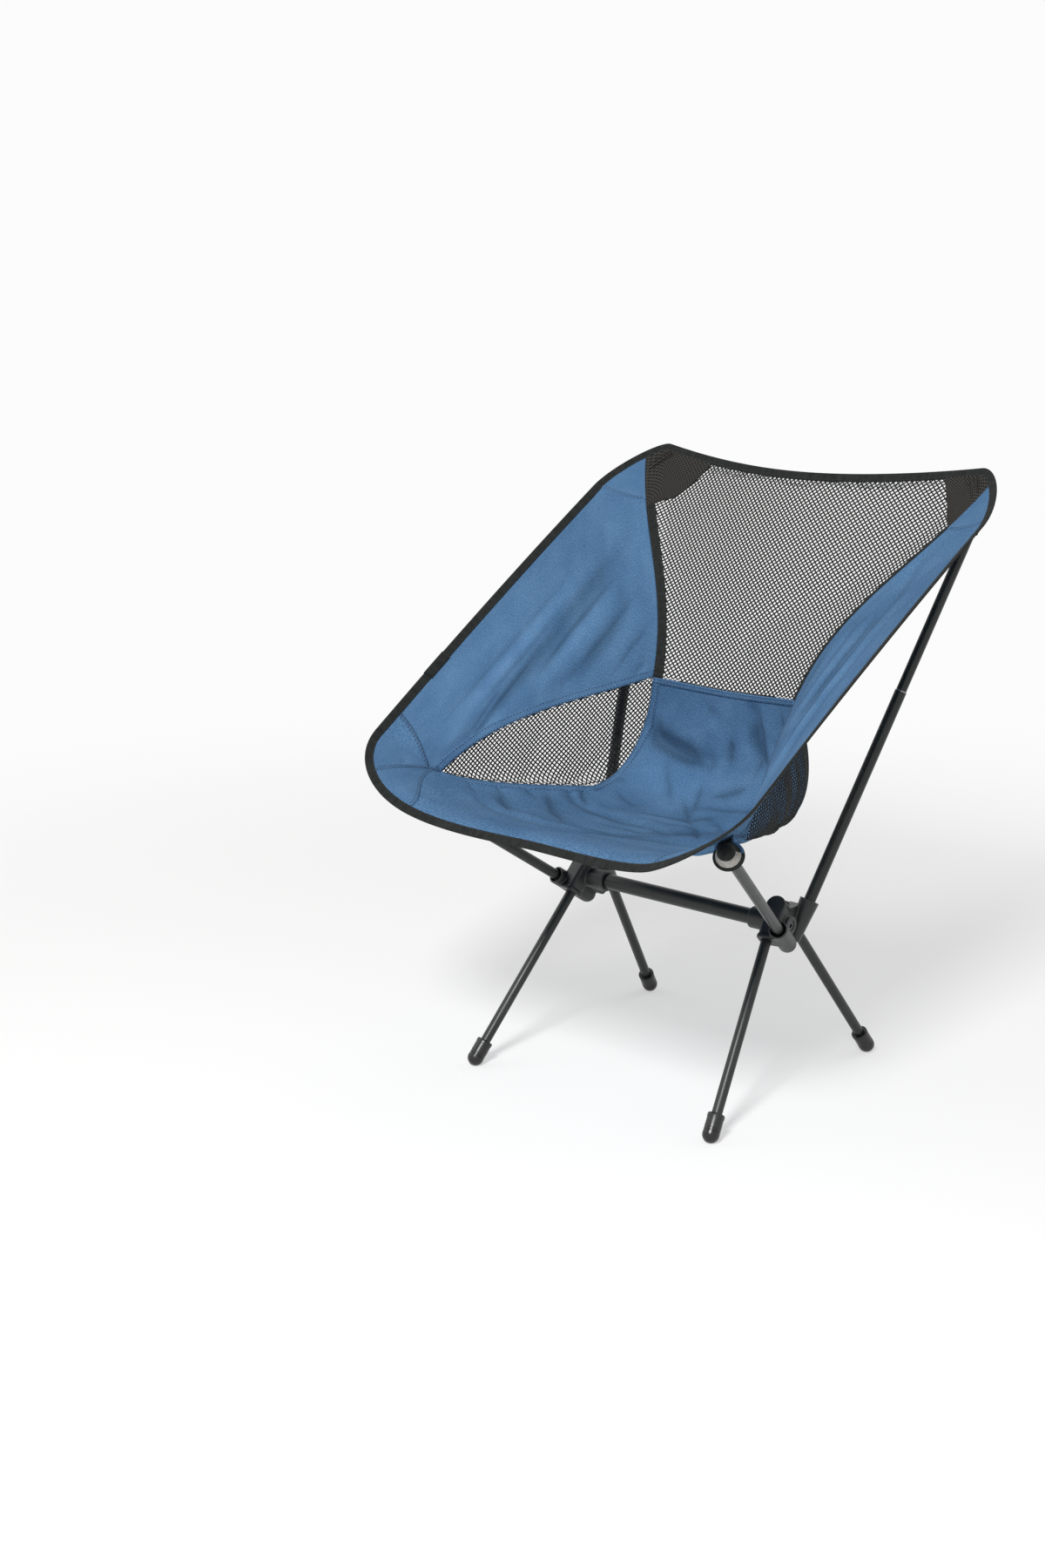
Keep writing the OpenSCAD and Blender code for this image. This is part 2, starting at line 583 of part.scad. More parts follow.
// Legs with their feet, and the cords that pull them into the hub
function leg_mouth(which) = which == "front" ? front_mouth : rear_mouth;
function leg_dir(which) = which == "front" ? front_dir : rear_dir;
function leg_top(which) = leg_mouth(which) + leg_dir(which) * (leg_socket_depth - meet_gap);
function foot_centre(which) = at_height(leg_mouth(which), leg_dir(which), foot_height);
module leg(which, name) {
    low = foot_centre(which) + leg_dir(which) * foot_sole;
    color(black) side(name)
        pipe(low, leg_dir(which), norm(leg_top(which) - low), leg_od, tube_wall);
}
module foot(which, name) {
    brim_r = 2;
    color("#161718") side(name) difference() {
        on_axis(foot_centre(which), leg_dir(which)) difference() {
            union() {
                sphere(r = foot_r);
                cylinder(r = foot_r, h = foot_len - brim_r);
                translate([0, 0, foot_len - brim_r])
                    cylinder(r1 = foot_r, r2 = foot_r - brim_r / 2, h = brim_r);
            }
            translate([0, 0, foot_sole]) cylinder(r = leg_od / 2 + seat_room, h = far);
        }
        translate([0, 0, -far * 1.5]) cube(far * 3, center = true);
    }
}
module leg_cord(which, name) {
    low = foot_centre(which) + leg_dir(which) * (foot_sole + meet_gap);
    top = leg_mouth(which) + leg_dir(which) * (leg_socket_depth + cord_anchor);
    color("#1d1e20") side(name)
        on_axis(low, leg_dir(which)) cylinder(d = cord_d, h = norm(top - low));
}

// Arms and back poles, with tips and cords
module arm_pole(name) {
    color(black) side(name)
        pipe(arm_start, arm_dir, norm(arm_end - arm_start) - tip_head_len - seat_room,
            arm_od, tube_wall);
}
module back_pole_lower(name) {
    color(black) side(name)
        pipe(back_start, back_dir, norm(back_joint - back_start), back_lower_od, back_lower_wall);
}
module back_pole_upper(name) {
    from = back_joint - back_dir * back_overlap;
    color(black) side(name)
        pipe(from, back_dir, norm(back_end - from) - tip_head_len - seat_room,
            back_upper_od, tube_wall);
}
module pole_tip(end, dir, od) {
    head_r = od / 2 + tip_head_extra / 2;
    on_axis(end - dir * tip_head_len, dir) {
        intersection() {
            union() {
                cylinder(r = head_r, h = tip_head_len - head_r);
                translate([0, 0, tip_head_len - head_r]) sphere(r = head_r);
            }
            cylinder(r = head_r, h = tip_head_len);
        }
        translate([0, 0, -tip_plug_len])
            cylinder(r = od / 2 - tube_wall - tip_plug_gap, h = tip_plug_len);
    }
}
module arm_tip(name) {
    color("#1c1d1e") side(name) pole_tip(arm_end, arm_dir, arm_od);
}
module back_tip(name) {
    color("#1c1d1e") side(name) pole_tip(back_end, back_dir, back_upper_od);
}
module pole_cord(start, end, dir) {
    length = norm(end - start) - tip_head_len - tip_plug_len - 2 * meet_gap;
    on_axis(start + dir * meet_gap, dir) cylinder(d = cord_d, h = length);
}
module arm_cord(name) {
    color("#1d1e20") side(name) pole_cord(arm_start, arm_end, arm_dir);
}
module back_cord(name) {
    color("#1d1e20") side(name) pole_cord(back_start, back_end, back_dir);
}

// Pockets of the sling over the pole tips
module pocket(end, dir, od, length, flare) {
    in_r = od / 2 + tip_head_extra / 2 + pocket_room;
    out_r = in_r + pocket_wall;
    round_at = -tip_head_extra / 2 - od / 2;
    slope = flare / (length / 2);
    on_axis(end, dir) difference() {
        union() {
            translate([0, 0, -length]) cylinder(r = out_r, h = length + round_at);
            translate([0, 0, -length]) cylinder(r1 = out_r + flare, r2 = out_r, h = length / 2);
            translate([0, 0, round_at]) sphere(r = out_r);
        }
        translate([0, 0, -length - 1]) cylinder(r = in_r, h = length + 1 + round_at);
        translate([0, 0, -length - 1])
            cylinder(r1 = in_r + flare + slope, r2 = in_r, h = length / 2 + 1);
        translate([0, 0, round_at]) sphere(r = in_r);
    }
}
module arm_pocket(name) {
    color(blue) side(name) pocket(arm_end, arm_dir, arm_od, arm_pocket_len, arm_pocket_flare);
}
module back_pocket(name) {
    color(black) side(name) pocket(back_end, back_dir, back_upper_od, back_pocket_len, 0);
}

// Sling panels and binding
module seat_panel() {
    color(blue) side("right")
        sheet(grid(function(u, v) seat_point(u, v), 22, 26), cloth_t, function(i, j) false);
}
module wing(name) {
    color(blue) side(name)
        sheet(grid(function(u, v) wing_point(u, v), 30, 14), cloth_t, function(i, j) false);
}
module back_net() {
    color(black) side("right") sheet(
        net_grid(function(u, v) back_point(u, v), back_gaps, back_gaps),
        cloth_t, function(i, j) i % 2 == 1 && j % 2 == 1);
}
module side_net(name) {
    color(black) side(name) sheet(
        net_grid(function(u, v) side_net_point(u, v), side_gaps, side_gaps),
        cloth_t, function(i, j) i % 2 == 1 && j % 2 == 1);
}
module binding_top() {
    color(black) side("right")
        band(concat(reversed(mirrored(short_run(0, 1))), short_run(0, 0)));
}
module binding_side(name) {
    color(black) side(name) band(concat(run(1, 0), run(2, 1), short_run(3, 1)));
}
module binding_front() {
    half = run(4, 0);
    color(black) side("right")
        band(concat(half, [for (i = [len(half) - 2 : -1 : 0]) mirrored(half)[i]]));
}

crossbar_tube();
crossbar_plug("left");  // crossbar_plug_left
crossbar_plug("right");  // crossbar_plug_right
crossbar_screw("left");  // crossbar_screw_left
crossbar_screw("right");  // crossbar_screw_right
hub("left");  // hub_left
hub("right");  // hub_right
leg("front", "left");  // front_leg_left
leg("front", "right");  // front_leg_right
leg("rear", "left");  // rear_leg_left
leg("rear", "right");  // rear_leg_right
foot("front", "left");  // front_foot_left
foot("front", "right");  // front_foot_right
foot("rear", "left");  // rear_foot_left
foot("rear", "right");  // rear_foot_right
leg_cord("front", "left");  // front_leg_cord_left
leg_cord("front", "right");  // front_leg_cord_right
leg_cord("rear", "left");  // rear_leg_cord_left
leg_cord("rear", "right");  // rear_leg_cord_right
arm_pole("left");  // arm_pole_left
arm_pole("right");  // arm_pole_right
arm_tip("left");  // arm_tip_left
arm_tip("right");  // arm_tip_right
arm_cord("left");  // arm_cord_left
arm_cord("right");  // arm_cord_right
back_pole_lower("left");  // back_pole_lower_left
back_pole_lower("right");  // back_pole_lower_right
back_pole_upper("left");  // back_pole_upper_left
back_pole_upper("right");  // back_pole_upper_right
back_tip("left");  // back_tip_left
back_tip("right");  // back_tip_right
back_cord("left");  // back_cord_left
back_cord("right");  // back_cord_right
seat_panel();
back_net();
wing("left");  // wing_left
wing("right");  // wing_right
side_net("left");  // side_net_left
side_net("right");  // side_net_right
binding_top();
binding_side("left");  // binding_left
binding_side("right");  // binding_right
binding_front();
arm_pocket("left");  // arm_pocket_left
arm_pocket("right");  // arm_pocket_right
back_pocket("left");  // back_pocket_left
back_pocket("right");  // back_pocket_right
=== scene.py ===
import math

import bmesh
import bpy
from mathutils import Matrix, Vector, noise
from mathutils.bvhtree import BVHTree


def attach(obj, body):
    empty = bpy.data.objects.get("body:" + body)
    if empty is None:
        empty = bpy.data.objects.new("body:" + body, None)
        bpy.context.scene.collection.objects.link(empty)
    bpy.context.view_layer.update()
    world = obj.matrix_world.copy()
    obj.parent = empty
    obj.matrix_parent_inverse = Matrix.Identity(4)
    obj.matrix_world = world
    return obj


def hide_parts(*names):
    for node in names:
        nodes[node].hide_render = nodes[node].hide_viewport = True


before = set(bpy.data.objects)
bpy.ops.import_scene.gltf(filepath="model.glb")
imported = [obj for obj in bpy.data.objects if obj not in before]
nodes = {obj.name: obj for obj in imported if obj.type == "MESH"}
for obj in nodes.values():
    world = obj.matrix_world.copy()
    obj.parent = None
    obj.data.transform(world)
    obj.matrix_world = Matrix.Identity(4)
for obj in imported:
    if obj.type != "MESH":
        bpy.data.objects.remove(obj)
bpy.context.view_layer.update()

sides = {"left": -1, "right": 1}
mm, weldGap = 0.001, 0.00002  # in metres; points closer than the gap are merged
print("frame loaded:", len(nodes), "nodes")


# colours and nodes

def linear(text):  # sRGB hex to linear RGBA
    parts = [int(text[i:i + 2], 16) / 255 for i in (1, 3, 5)]
    return [p / 12.92 if p <= 0.04045 else ((p + 0.055) / 1.055) ** 2.4 for p in parts] + [1]


def addNode(tree, kind, settings={}, sockets={}, stops=(), into=None):
    made = tree.nodes.new(kind)
    for name, value in settings.items():
        setattr(made, name, value)
    for name, value in sockets.items():
        if isinstance(value, bpy.types.NodeSocket):
            tree.links.new(value, made.inputs[name])
        else:
            made.inputs[name].default_value = value
    for i, (place, colour) in enumerate(stops):  # a colour ramp's stops, in rising order
        ramp = made.color_ramp.elements
        stop = ramp[i] if i < len(ramp) else ramp.new(place)
        stop.position, stop.color = place, linear(colour)
    if into:
        tree.links.new(made.outputs[0], into)
    return made


def newMaterial(name, **sockets):
    material = bpy.data.materials.new(name)
    material.use_nodes = True
    tree = material.node_tree
    shader = tree.nodes["Principled BSDF"]
    for key, value in sockets.items():
        shader.inputs[key.replace("_", " ")].default_value = value
    return material, tree, shader


def bandScale(pitch):  # wave texture scale for bands this many metres apart: it turns 20 radians a unit
    return 2 * math.pi / 20 / pitch


# woven polyester: two sets of threads, a dull heathered colour, with painted shade darker where it is
# creased and painted light paler on the ridges
def wovenPolyester(name, dark, mid, light):
    thread, speckle, cloudy = 0.0016, 0.0017, 0.07  # real threads are 0.4 mm, drawn coarser to show
    slubShare, cloudShare = 0.72, 0.34
    material, tree, shader = newMaterial(name, Roughness=0.95, Sheen_Weight=0.02,
                                         Sheen_Roughness=0.6, Specular_IOR_Level=0.0)
    uv = addNode(tree, "ShaderNodeUVMap", {"uv_map": "weave"}).outputs["UV"]
    warp, weft = (addNode(tree, "ShaderNodeTexWave", {"bands_direction": axis}, {
        "Vector": uv, "Scale": bandScale(thread), "Distortion": 1.2, "Detail": 1,
        "Detail Scale": 2}).outputs["Fac"] for axis in "XY")
    cross = addNode(tree, "ShaderNodeMath", {"operation": "MAXIMUM"}, {0: warp, 1: weft}).outputs[0]
    slub = addNode(tree, "ShaderNodeTexNoise", {}, {
        "Vector": uv, "Scale": 1 / speckle, "Detail": 2, "Roughness": 0.7}).outputs["Fac"]
    cloud = addNode(tree, "ShaderNodeTexNoise", {}, {
        "Vector": uv, "Scale": 1 / cloudy, "Detail": 4, "Roughness": 0.6}).outputs["Fac"]
    slub = addNode(tree, "ShaderNodeMath", {"operation": "MULTIPLY"}, {0: slub, 1: slubShare}).outputs[0]
    mixed = addNode(tree, "ShaderNodeMath", {"operation": "MULTIPLY_ADD"}, {
        0: cloud, 1: cloudShare, 2: slub}).outputs[0]
    heather = addNode(tree, "ShaderNodeValToRGB", {}, {"Fac": mixed},
                      [(0.36, dark), (0.53, mid), (0.72, light)]).outputs["Color"]
    shade = addNode(tree, "ShaderNodeValToRGB", {}, {"Fac": cross},
                    [(0.0, "#e6e6e6"), (0.8, "#ffffff")]).outputs["Color"]
    woven = addNode(tree, "ShaderNodeMix", {"data_type": "RGBA", "blend_type": "MULTIPLY"}, {
        "Factor": 0.8, 6: heather, 7: shade})
    crease = addNode(tree, "ShaderNodeAttribute", {"attribute_name": "crease"}).outputs["Fac"]
    paintedShade = addNode(tree, "ShaderNodeMapRange", {}, {  # painted shade: darker down in the creases, and painted light: paler on the ridges
        "Value": crease, "From Min": -0.4, "From Max": 1, "To Min": 1.1, "To Max": 0.55}).outputs["Result"]
    addNode(tree, "ShaderNodeVectorMath", {"operation": "SCALE"}, {
        0: woven.outputs[2], "Scale": paintedShade}, into=shader.inputs["Base Color"])
    addNode(tree, "ShaderNodeBump", {}, {"Strength": 0.35, "Distance": 0.0004, "Height": cross},
            into=shader.inputs["Normal"])
    return material


# knitted black net: matt thread that takes a little light along each strand
def knittedNet(name, dark, light):
    thread, speckle = 0.0009, 0.0033
    material, tree, shader = newMaterial(name, Roughness=0.8, Sheen_Weight=0.05,
                                         Specular_IOR_Level=0.12)
    place = addNode(tree, "ShaderNodeTexCoord").outputs["Object"]
    twist = addNode(tree, "ShaderNodeTexWave", {"bands_direction": "DIAGONAL"}, {
        "Vector": place, "Scale": bandScale(thread), "Distortion": 2}).outputs["Fac"]
    spots = addNode(tree, "ShaderNodeTexNoise", {}, {
        "Vector": place, "Scale": 1 / speckle, "Detail": 2}).outputs["Fac"]
    addNode(tree, "ShaderNodeValToRGB", {}, {"Fac": spots}, [(0.35, dark), (0.7, light)],
            shader.inputs["Base Color"])
    addNode(tree, "ShaderNodeBump", {}, {"Strength": 0.4, "Distance": 0.0003, "Height": twist},
            into=shader.inputs["Normal"])
    return material


# dense double net: the small closed meshes show as slanted rows of darker dots
def denseNet(name, dark, light):
    mesh = 0.0042
    material, tree, shader = newMaterial(name, Roughness=0.8, Specular_IOR_Level=0.1)
    uv = addNode(tree, "ShaderNodeUVMap", {"uv_map": "weave"}).outputs["UV"]
    turned = addNode(tree, "ShaderNodeMapping", {}, {
        "Vector": uv, "Rotation": (0, 0, math.radians(45))}).outputs["Vector"]
    rows = [addNode(tree, "ShaderNodeTexWave", {"bands_direction": axis}, {
        "Vector": turned, "Scale": bandScale(mesh), "Distortion": 0.6}).outputs["Fac"]
        for axis in "XY"]
    knots = addNode(tree, "ShaderNodeMath", {"operation": "MULTIPLY"},
                    {0: rows[0], 1: rows[1]}).outputs[0]
    addNode(tree, "ShaderNodeValToRGB", {}, {"Fac": knots}, [(0.12, light), (0.42, dark)],
            shader.inputs["Base Color"])
    addNode(tree, "ShaderNodeBump", {"invert": True},
            {"Strength": 0.7, "Distance": 0.0006, "Height": knots}, into=shader.inputs["Normal"])
    return material


# polyester grosgrain tape: fine cross ribs, charcoal, a little paler where it is fuzzed
def grosgrainTape(name, dark, light):
    rib, fuzzy = 0.0012, 0.0055  # ribs drawn a little broader than the real ones so that they show
    material, tree, shader = newMaterial(name, Roughness=0.8, Sheen_Weight=0.03,
                                         Specular_IOR_Level=0.12)
    uv = addNode(tree, "ShaderNodeUVMap", {"uv_map": "weave"}).outputs["UV"]
    ribs = addNode(tree, "ShaderNodeTexWave", {"bands_direction": "X"}, {
        "Vector": uv, "Scale": bandScale(rib), "Distortion": 0.4}).outputs["Fac"]
    fuzz = addNode(tree, "ShaderNodeTexNoise", {}, {
        "Vector": uv, "Scale": 1 / fuzzy, "Detail": 4}).outputs["Fac"]
    addNode(tree, "ShaderNodeValToRGB", {}, {"Fac": fuzz}, [(0.3, dark), (0.75, light)],
            shader.inputs["Base Color"])
    addNode(tree, "ShaderNodeBump", {}, {"Strength": 0.3, "Distance": 0.0004, "Height": ribs},
            into=shader.inputs["Normal"])
    return material


# moulded, anodised or rubber skin: a fine grain, and broad soft changes of gloss
def grainedSkin(name, dark, light, grain, depth, glossLow, glossHigh, **sockets):
    patchy = 0.036
    material, tree, shader = newMaterial(name, **sockets)
    place = addNode(tree, "ShaderNodeTexCoord").outputs["Object"]
    fine = addNode(tree, "ShaderNodeTexNoise", {}, {
        "Vector": place, "Scale": 1 / grain, "Detail": 3}).outputs["Fac"]
    broad = addNode(tree, "ShaderNodeTexNoise", {}, {
        "Vector": place, "Scale": 1 / patchy, "Detail": 3, "Roughness": 0.6}).outputs["Fac"]
    addNode(tree, "ShaderNodeValToRGB", {}, {"Fac": broad}, [(0.3, dark), (0.7, light)],
            shader.inputs["Base Color"])
    addNode(tree, "ShaderNodeMapRange", {}, {
        "Value": broad, "From Min": 0.3, "From Max": 0.7, "To Min": glossLow, "To Max": glossHigh},
        into=shader.inputs["Roughness"])
    addNode(tree, "ShaderNodeBump", {}, {"Strength": 0.25, "Distance": depth, "Height": fine},
            into=shader.inputs["Normal"])
    return material


# braided elastic: slanted rows of thread round a rubber core
def braidedElastic(name, dark, light):
    thread = 0.0012
    material, tree, shader = newMaterial(name, Roughness=0.8, Sheen_Weight=0.3)
    place = addNode(tree, "ShaderNodeTexCoord").outputs["Object"]
    rows = addNode(tree, "ShaderNodeTexWave", {"bands_direction": "DIAGONAL"}, {
        "Vector": place, "Scale": bandScale(thread), "Distortion": 0.5}).outputs["Fac"]
    addNode(tree, "ShaderNodeValToRGB", {}, {"Fac": rows}, [(0.2, dark), (0.8, light)],
            shader.inputs["Base Color"])
    addNode(tree, "ShaderNodeBump", {}, {"Strength": 0.5, "Distance": 0.0003, "Height": rows},
            into=shader.inputs["Normal"])
    return material


blueCloth = wovenPolyester("bluePolyester", "#3c5e83", "#507397", "#6b8eb1")
# grey for the arm pockets' underside: a painted reflection of the pale floor
floorReflectionGrey = wovenPolyester("greyPolyesterFloorReflection", "#8f8d89", "#a5a29d", "#bab7b2")
navyThread = grainedSkin("navyThread", "#16253b", "#20334e", 0.0006, 0.0002, 0.6, 0.8)
blackThread = grainedSkin("blackThread", "#111212", "#1d1e1e", 0.0006, 0.0002, 0.6, 0.8)
netThread = knittedNet("knittedNet", "#121414", "#222424")
patchNet = denseNet("denseNet", "#0d0e0e", "#3b3936")
tape = grosgrainTape("grosgrainTape", "#181b1a", "#282b2a")
hubNylon = grainedSkin("glassFilledNylon", "#1b1d1d", "#262828", 0.0007, 0.0002, 0.34, 0.5)
poleCoat = grainedSkin("anodisedAluminium", "#232625", "#2f3230", 0.0009, 0.00008, 0.3, 0.42,
                       Metallic=0.35)
bareMetal = grainedSkin("turnedAluminium", "#8d9093", "#b0b3b5", 0.0008, 0.0001, 0.25, 0.4,
                        Metallic=1.0)
footRubber = grainedSkin("mouldedRubber", "#0c0d0d", "#181919", 0.001, 0.0002, 0.2, 0.4)
tipNylon = grainedSkin("tipNylon", "#121313", "#1d1e1e", 0.0008, 0.0002, 0.25, 0.4)
screwSteel = grainedSkin("blackedSteel", "#3a3c3d", "#55585a", 0.0006, 0.0001, 0.28, 0.42,
                         Metallic=1.0)
cordSkin = braidedElastic("braidedElastic", "#121314", "#303234")
print("materials made:", len(bpy.data.materials))


# camera, floor and light

view = {
    "place": (1.30311, -1.81395, 0.91424), "lens": 47.96, "tallSide": 36,
    "right": (0.76538, 0.64358, 0.0), "up": (-0.16428, 0.19537, 0.96687),
    "back": (0.62226, -0.74003, 0.25526),
}
studio = {
    "floor": "#fafaf9", "floorHalf": 30, "fadeFrom": 0.5, "fadeTo": 1.9, "least": 0.5, "world": 0.34,
    "backdrop": 0.97,
    "lamps": [  # name, place, aim, size, watts
        ("keyLamp", (0.7, -2.2, 2.4), (0, 0, 0.4), 0.7, 92),
        ("fillLamp", (-2.4, -1.0, 2.0), (0, 0, 0.35), 1.6, 8),
        ("rearLamp", (0.6, 2.4, 2.2), (0, 0, 0.4), 1.6, 12),
    ],
}

cameraData = bpy.data.cameras.new("photoCamera")
cameraData.sensor_fit = "VERTICAL"
cameraData.sensor_height = cameraData.sensor_width = view["tallSide"]
cameraData.lens = view["lens"]
cameraData.clip_end = 100
cameraObject = bpy.data.objects.new("photoCamera", cameraData)
turned = Matrix([view["right"], view["up"], view["back"]]).transposed()
cameraObject.matrix_world = Matrix.Translation(view["place"]) @ turned.to_4x4()
bpy.context.scene.collection.objects.link(cameraObject)
bpy.context.scene.camera = cameraObject
bpy.context.scene.view_settings.view_transform = "Standard"


def seenDirectly(tree):  # 1 for camera, glossy and transmission rays
    path = addNode(tree, "ShaderNodeLightPath").outputs
    mirrored = addNode(tree, "ShaderNodeMath", {"operation": "MAXIMUM"}, {
        0: path["Is Glossy Ray"], 1: path["Is Transmission Ray"]}).outputs[0]
    return addNode(tree, "ShaderNodeMath", {"operation": "MAXIMUM"}, {
        0: path["Is Camera Ray"], 1: mirrored}).outputs[0]


world = bpy.data.worlds.new("studioWorld")
bpy.context.scene.world = world
world.use_nodes = True
backdrop = world.node_tree.nodes["Background"]
backdrop.inputs["Color"].default_value = (1, 1, 1, 1)
addNode(world.node_tree, "ShaderNodeMapRange", {}, {
    "Value": seenDirectly(world.node_tree), "To Min": studio["world"], "To Max": studio["backdrop"]},
    into=backdrop.inputs["Strength"])

for name, place, aim, size, watts in studio["lamps"]:
    lamp = bpy.data.lights.new(name, "AREA")
    lamp.size, lamp.energy = size, watts
    lampObject = bpy.data.objects.new(name, lamp)
    lampObject.location = place
    lampObject.rotation_euler = (Vector(aim) - Vector(place)).to_track_quat("-Z", "Y").to_euler()
    bpy.context.scene.collection.objects.link(lampObject)

# matt painted board near the chair, fading into the backdrop's own level further off
paleFloor, tree, shader = newMaterial("paintedBoard", Base_Color=linear(studio["floor"]),
                                      Roughness=0.9, Specular_IOR_Level=0)
place = addNode(tree, "ShaderNodeTexCoord").outputs["Object"]
reach = addNode(tree, "ShaderNodeVectorMath", {"operation": "LENGTH"}, {0: place}).outputs["Value"]
fade = addNode(tree, "ShaderNodeMapRange", {"interpolation_type": "SMOOTHSTEP"}, {
    "Value": reach, "From Min": studio["fadeFrom"], "From Max": studio["fadeTo"],
    "To Min": studio["least"]}).outputs["Result"]
share = addNode(tree, "ShaderNodeMath", {"operation": "MULTIPLY"}, {0: seenDirectly(tree), 1: fade})
glow = addNode(tree, "ShaderNodeEmission", {}, {"Strength": studio["backdrop"]})
addNode(tree, "ShaderNodeMixShader", {}, {
    0: share.outputs[0], 1: shader.outputs[0], 2: glow.outputs[0]},
    into=tree.nodes["Material Output"].inputs["Surface"])
floorMesh = bmesh.new()
bmesh.ops.create_grid(floorMesh, x_segments=1, y_segments=1, size=studio["floorHalf"])
floorData = bpy.data.meshes.new("floor")
floorMesh.to_mesh(floorData)
floorMesh.free()
floorData.materials.append(paleFloor)
floor = bpy.data.objects.new("floor", floorData)
bpy.context.scene.collection.objects.link(floor)
print("camera and studio made")


# curves of the sling, in millimetres from the crossbar axis, on the right side

sling = {
    "crossbarBehind": 7.7, "fork": (135.5, 20, 160), "armEnd": (220.5, -235, 345),
    "backEnd": (226, 252.5, 650), "seamEnd": (97, 77, 420), "seamMid": (0, 88, 415),
    "lowCorner": (125, -2, 301), "netPoint": (202, -172, 339), "seatMid": (0, -2, 273),
    "hemMid": (0, -260.5, 308.5), "topMid": (0, 223, 649.5), "bindingWide": 10, "bindingThick": 2.4,
    "underBinding": 6, "cornerLift": 4, "hemTilt": (0, 0, 240), "hemRoll": 4.5, "hemRollAt": 14,
    "hemRollEnds": 0.15, "netBelly": 9, "bellyWay": (0.75, 0.1, -0.65), "bellyShare": 0.9,
    # corners of the edge, from the pole tips
    "topCorner": (-16.2, 7.5, 15), "wingStart": (36.4, -82.2, -33.4), "wingEnd": (28, 11, 45.8),
    "hemCorner": (-58.6, -37.7, -24.3),
    # how the edge leaves its corners
    "topFlat": (80, 0, 0), "topTurn": (53.4, 12.4, 7.9), "topRound": 0.36, "wingRound": 41.5,
    "bow": (0, 0, 4.5), "frontRound": 44, "hemTurn": (-44.6, 13.7, -19.1), "hemRound": 0.93,
    "hemFlat": (37.5, 0, 0), "wingSeamTop": (-36, -64, -78), "wingSeamLow": (15, 49, 100),
    # how far along a stretch of the edge a panel ends
    "netStop": 0.4, "wingStop": 0.4, "turn": 0.5,
}
seams = {  # start, handle at the start, handle at the end, end
    "seamLow": ("seamEnd", (-30, 7, -2), (38, 0, 0), "seamMid"),
    "netTop": ("seamEnd", (36, -84, -19), (-24, 76, 60), "netPoint"),
    "netLow": ("lowCorner", (20, -46, 8), (-28, 47, -22), "netPoint"),
    "netBack": ("seamEnd", (20, 21, -80), (4, 62, -6), "lowCorner"),
}
wingBack, wingFront = 0.2, 0.8  # where the outer edge of a wing passes its two corners
seatNet, seatFront = 0.42, 0.86  # where the seat's side reaches the net's low corner and its point
hemStraight, topStraight = 0.7, 0.9  # how far out from the middle the hem and the top edge run
at = {key: Vector(value) for key, value in sling.items() if isinstance(value, tuple)}


def lerp(a, b, t):
    return a + (b - a) * t


def bezier(p, t):
    s = 1 - t
    return p[0] * s ** 3 + p[1] * (3 * s * s * t) + p[2] * (3 * s * t * t) + p[3] * t ** 3


def flip(p):
    return Vector((-p.x, p.y, p.z))


def hump(t):
    return 4 * t * (1 - t)


def smooth(low, high, x):
    t = min(max((x - low) / (high - low), 0), 1)
    return t * t * (3 - 2 * t)


def inFrame(p, side=1):
    return Vector((p.x * side, p.y + sling["crossbarBehind"], p.z)) * mm


topCorner, wingStart = (at["backEnd"] + at[k] for k in ("topCorner", "wingStart"))
wingEnd, hemCorner = (at["armEnd"] + at[k] for k in ("wingEnd", "hemCorner"))
wingLine = (wingStart - wingEnd).normalized()
edges = [
    [at["topMid"], at["topMid"] + at["topFlat"], topCorner - at["topTurn"], topCorner],
    [topCorner, topCorner + sling["topRound"] * at["topTurn"],
     wingStart + sling["wingRound"] * wingLine, wingStart],
    [wingStart, lerp(wingStart, wingEnd, 1 / 3) + at["bow"],
     lerp(wingStart, wingEnd, 2 / 3) + at["bow"], wingEnd],
    [wingEnd, wingEnd - sling["frontRound"] * wingLine, hemCorner - at["hemTurn"], hemCorner],
    [hemCorner, hemCorner + sling["hemRound"] * at["hemTurn"], at["hemMid"] + at["hemFlat"], at["hemMid"]],
]
seamEnd, seamMid, lowCorner, netPoint = (at[k] for k in ("seamEnd", "seamMid", "lowCorner", "netPoint"))
seamLow, netTop, netLow, netBack = (
    [at[start], at[start] + Vector(leave), at[end] + Vector(arrive), at[end]]
    for start, leave, arrive, end in seams.values())


def edgeAt(k, t):
    return bezier(edges[k], t)


def guideAt(k, t):
    return (lerp(seamMid, seamEnd, t), seamEnd, bezier(netTop, t),
            lerp(netPoint, lowCorner, t) + at["hemTilt"] * t * t,
            lerp(lowCorner, at["seatMid"], t) + at["hemTilt"])[k]


def edgeFrame(k, t, step=0.01):  # along the edge, and inward over the cloth
    along = (edgeAt(k, min(1, t + step)) - edgeAt(k, max(0, t - step))).normalized()
    towards = guideAt(k, t) - edgeAt(k, t)
    return along, (towards - towards.dot(along) * along).normalized()


def innerAt(k, t, inset=sling["underBinding"]):
    return edgeAt(k, t) + edgeFrame(k, t)[1] * inset


def sampled(line, count=240):
    points = [line(i / count) for i in range(count + 1)]

    def look(t):
        x = t * count
        i = min(max(int(x), 0), count - 1)
        return points[i].lerp(points[i + 1], x - i)
    return look


def twoSided(half):
    return lambda u: half(2 * u - 1) if u >= 0.5 else flip(half(1 - 2 * u))


netStop, wingStop, turn = (sling[k] for k in ("netStop", "wingStop", "turn"))
netCorner = innerAt(1, netStop, sling["bindingWide"])
wingSeam = [innerAt(1, netStop), netCorner + at["wingSeamTop"], seamEnd + at["wingSeamLow"], seamEnd]


def cornerSeam(t):
    return lerp(netPoint, innerAt(3, turn), t) + Vector((0, 0, sling["cornerLift"] * hump(t)))


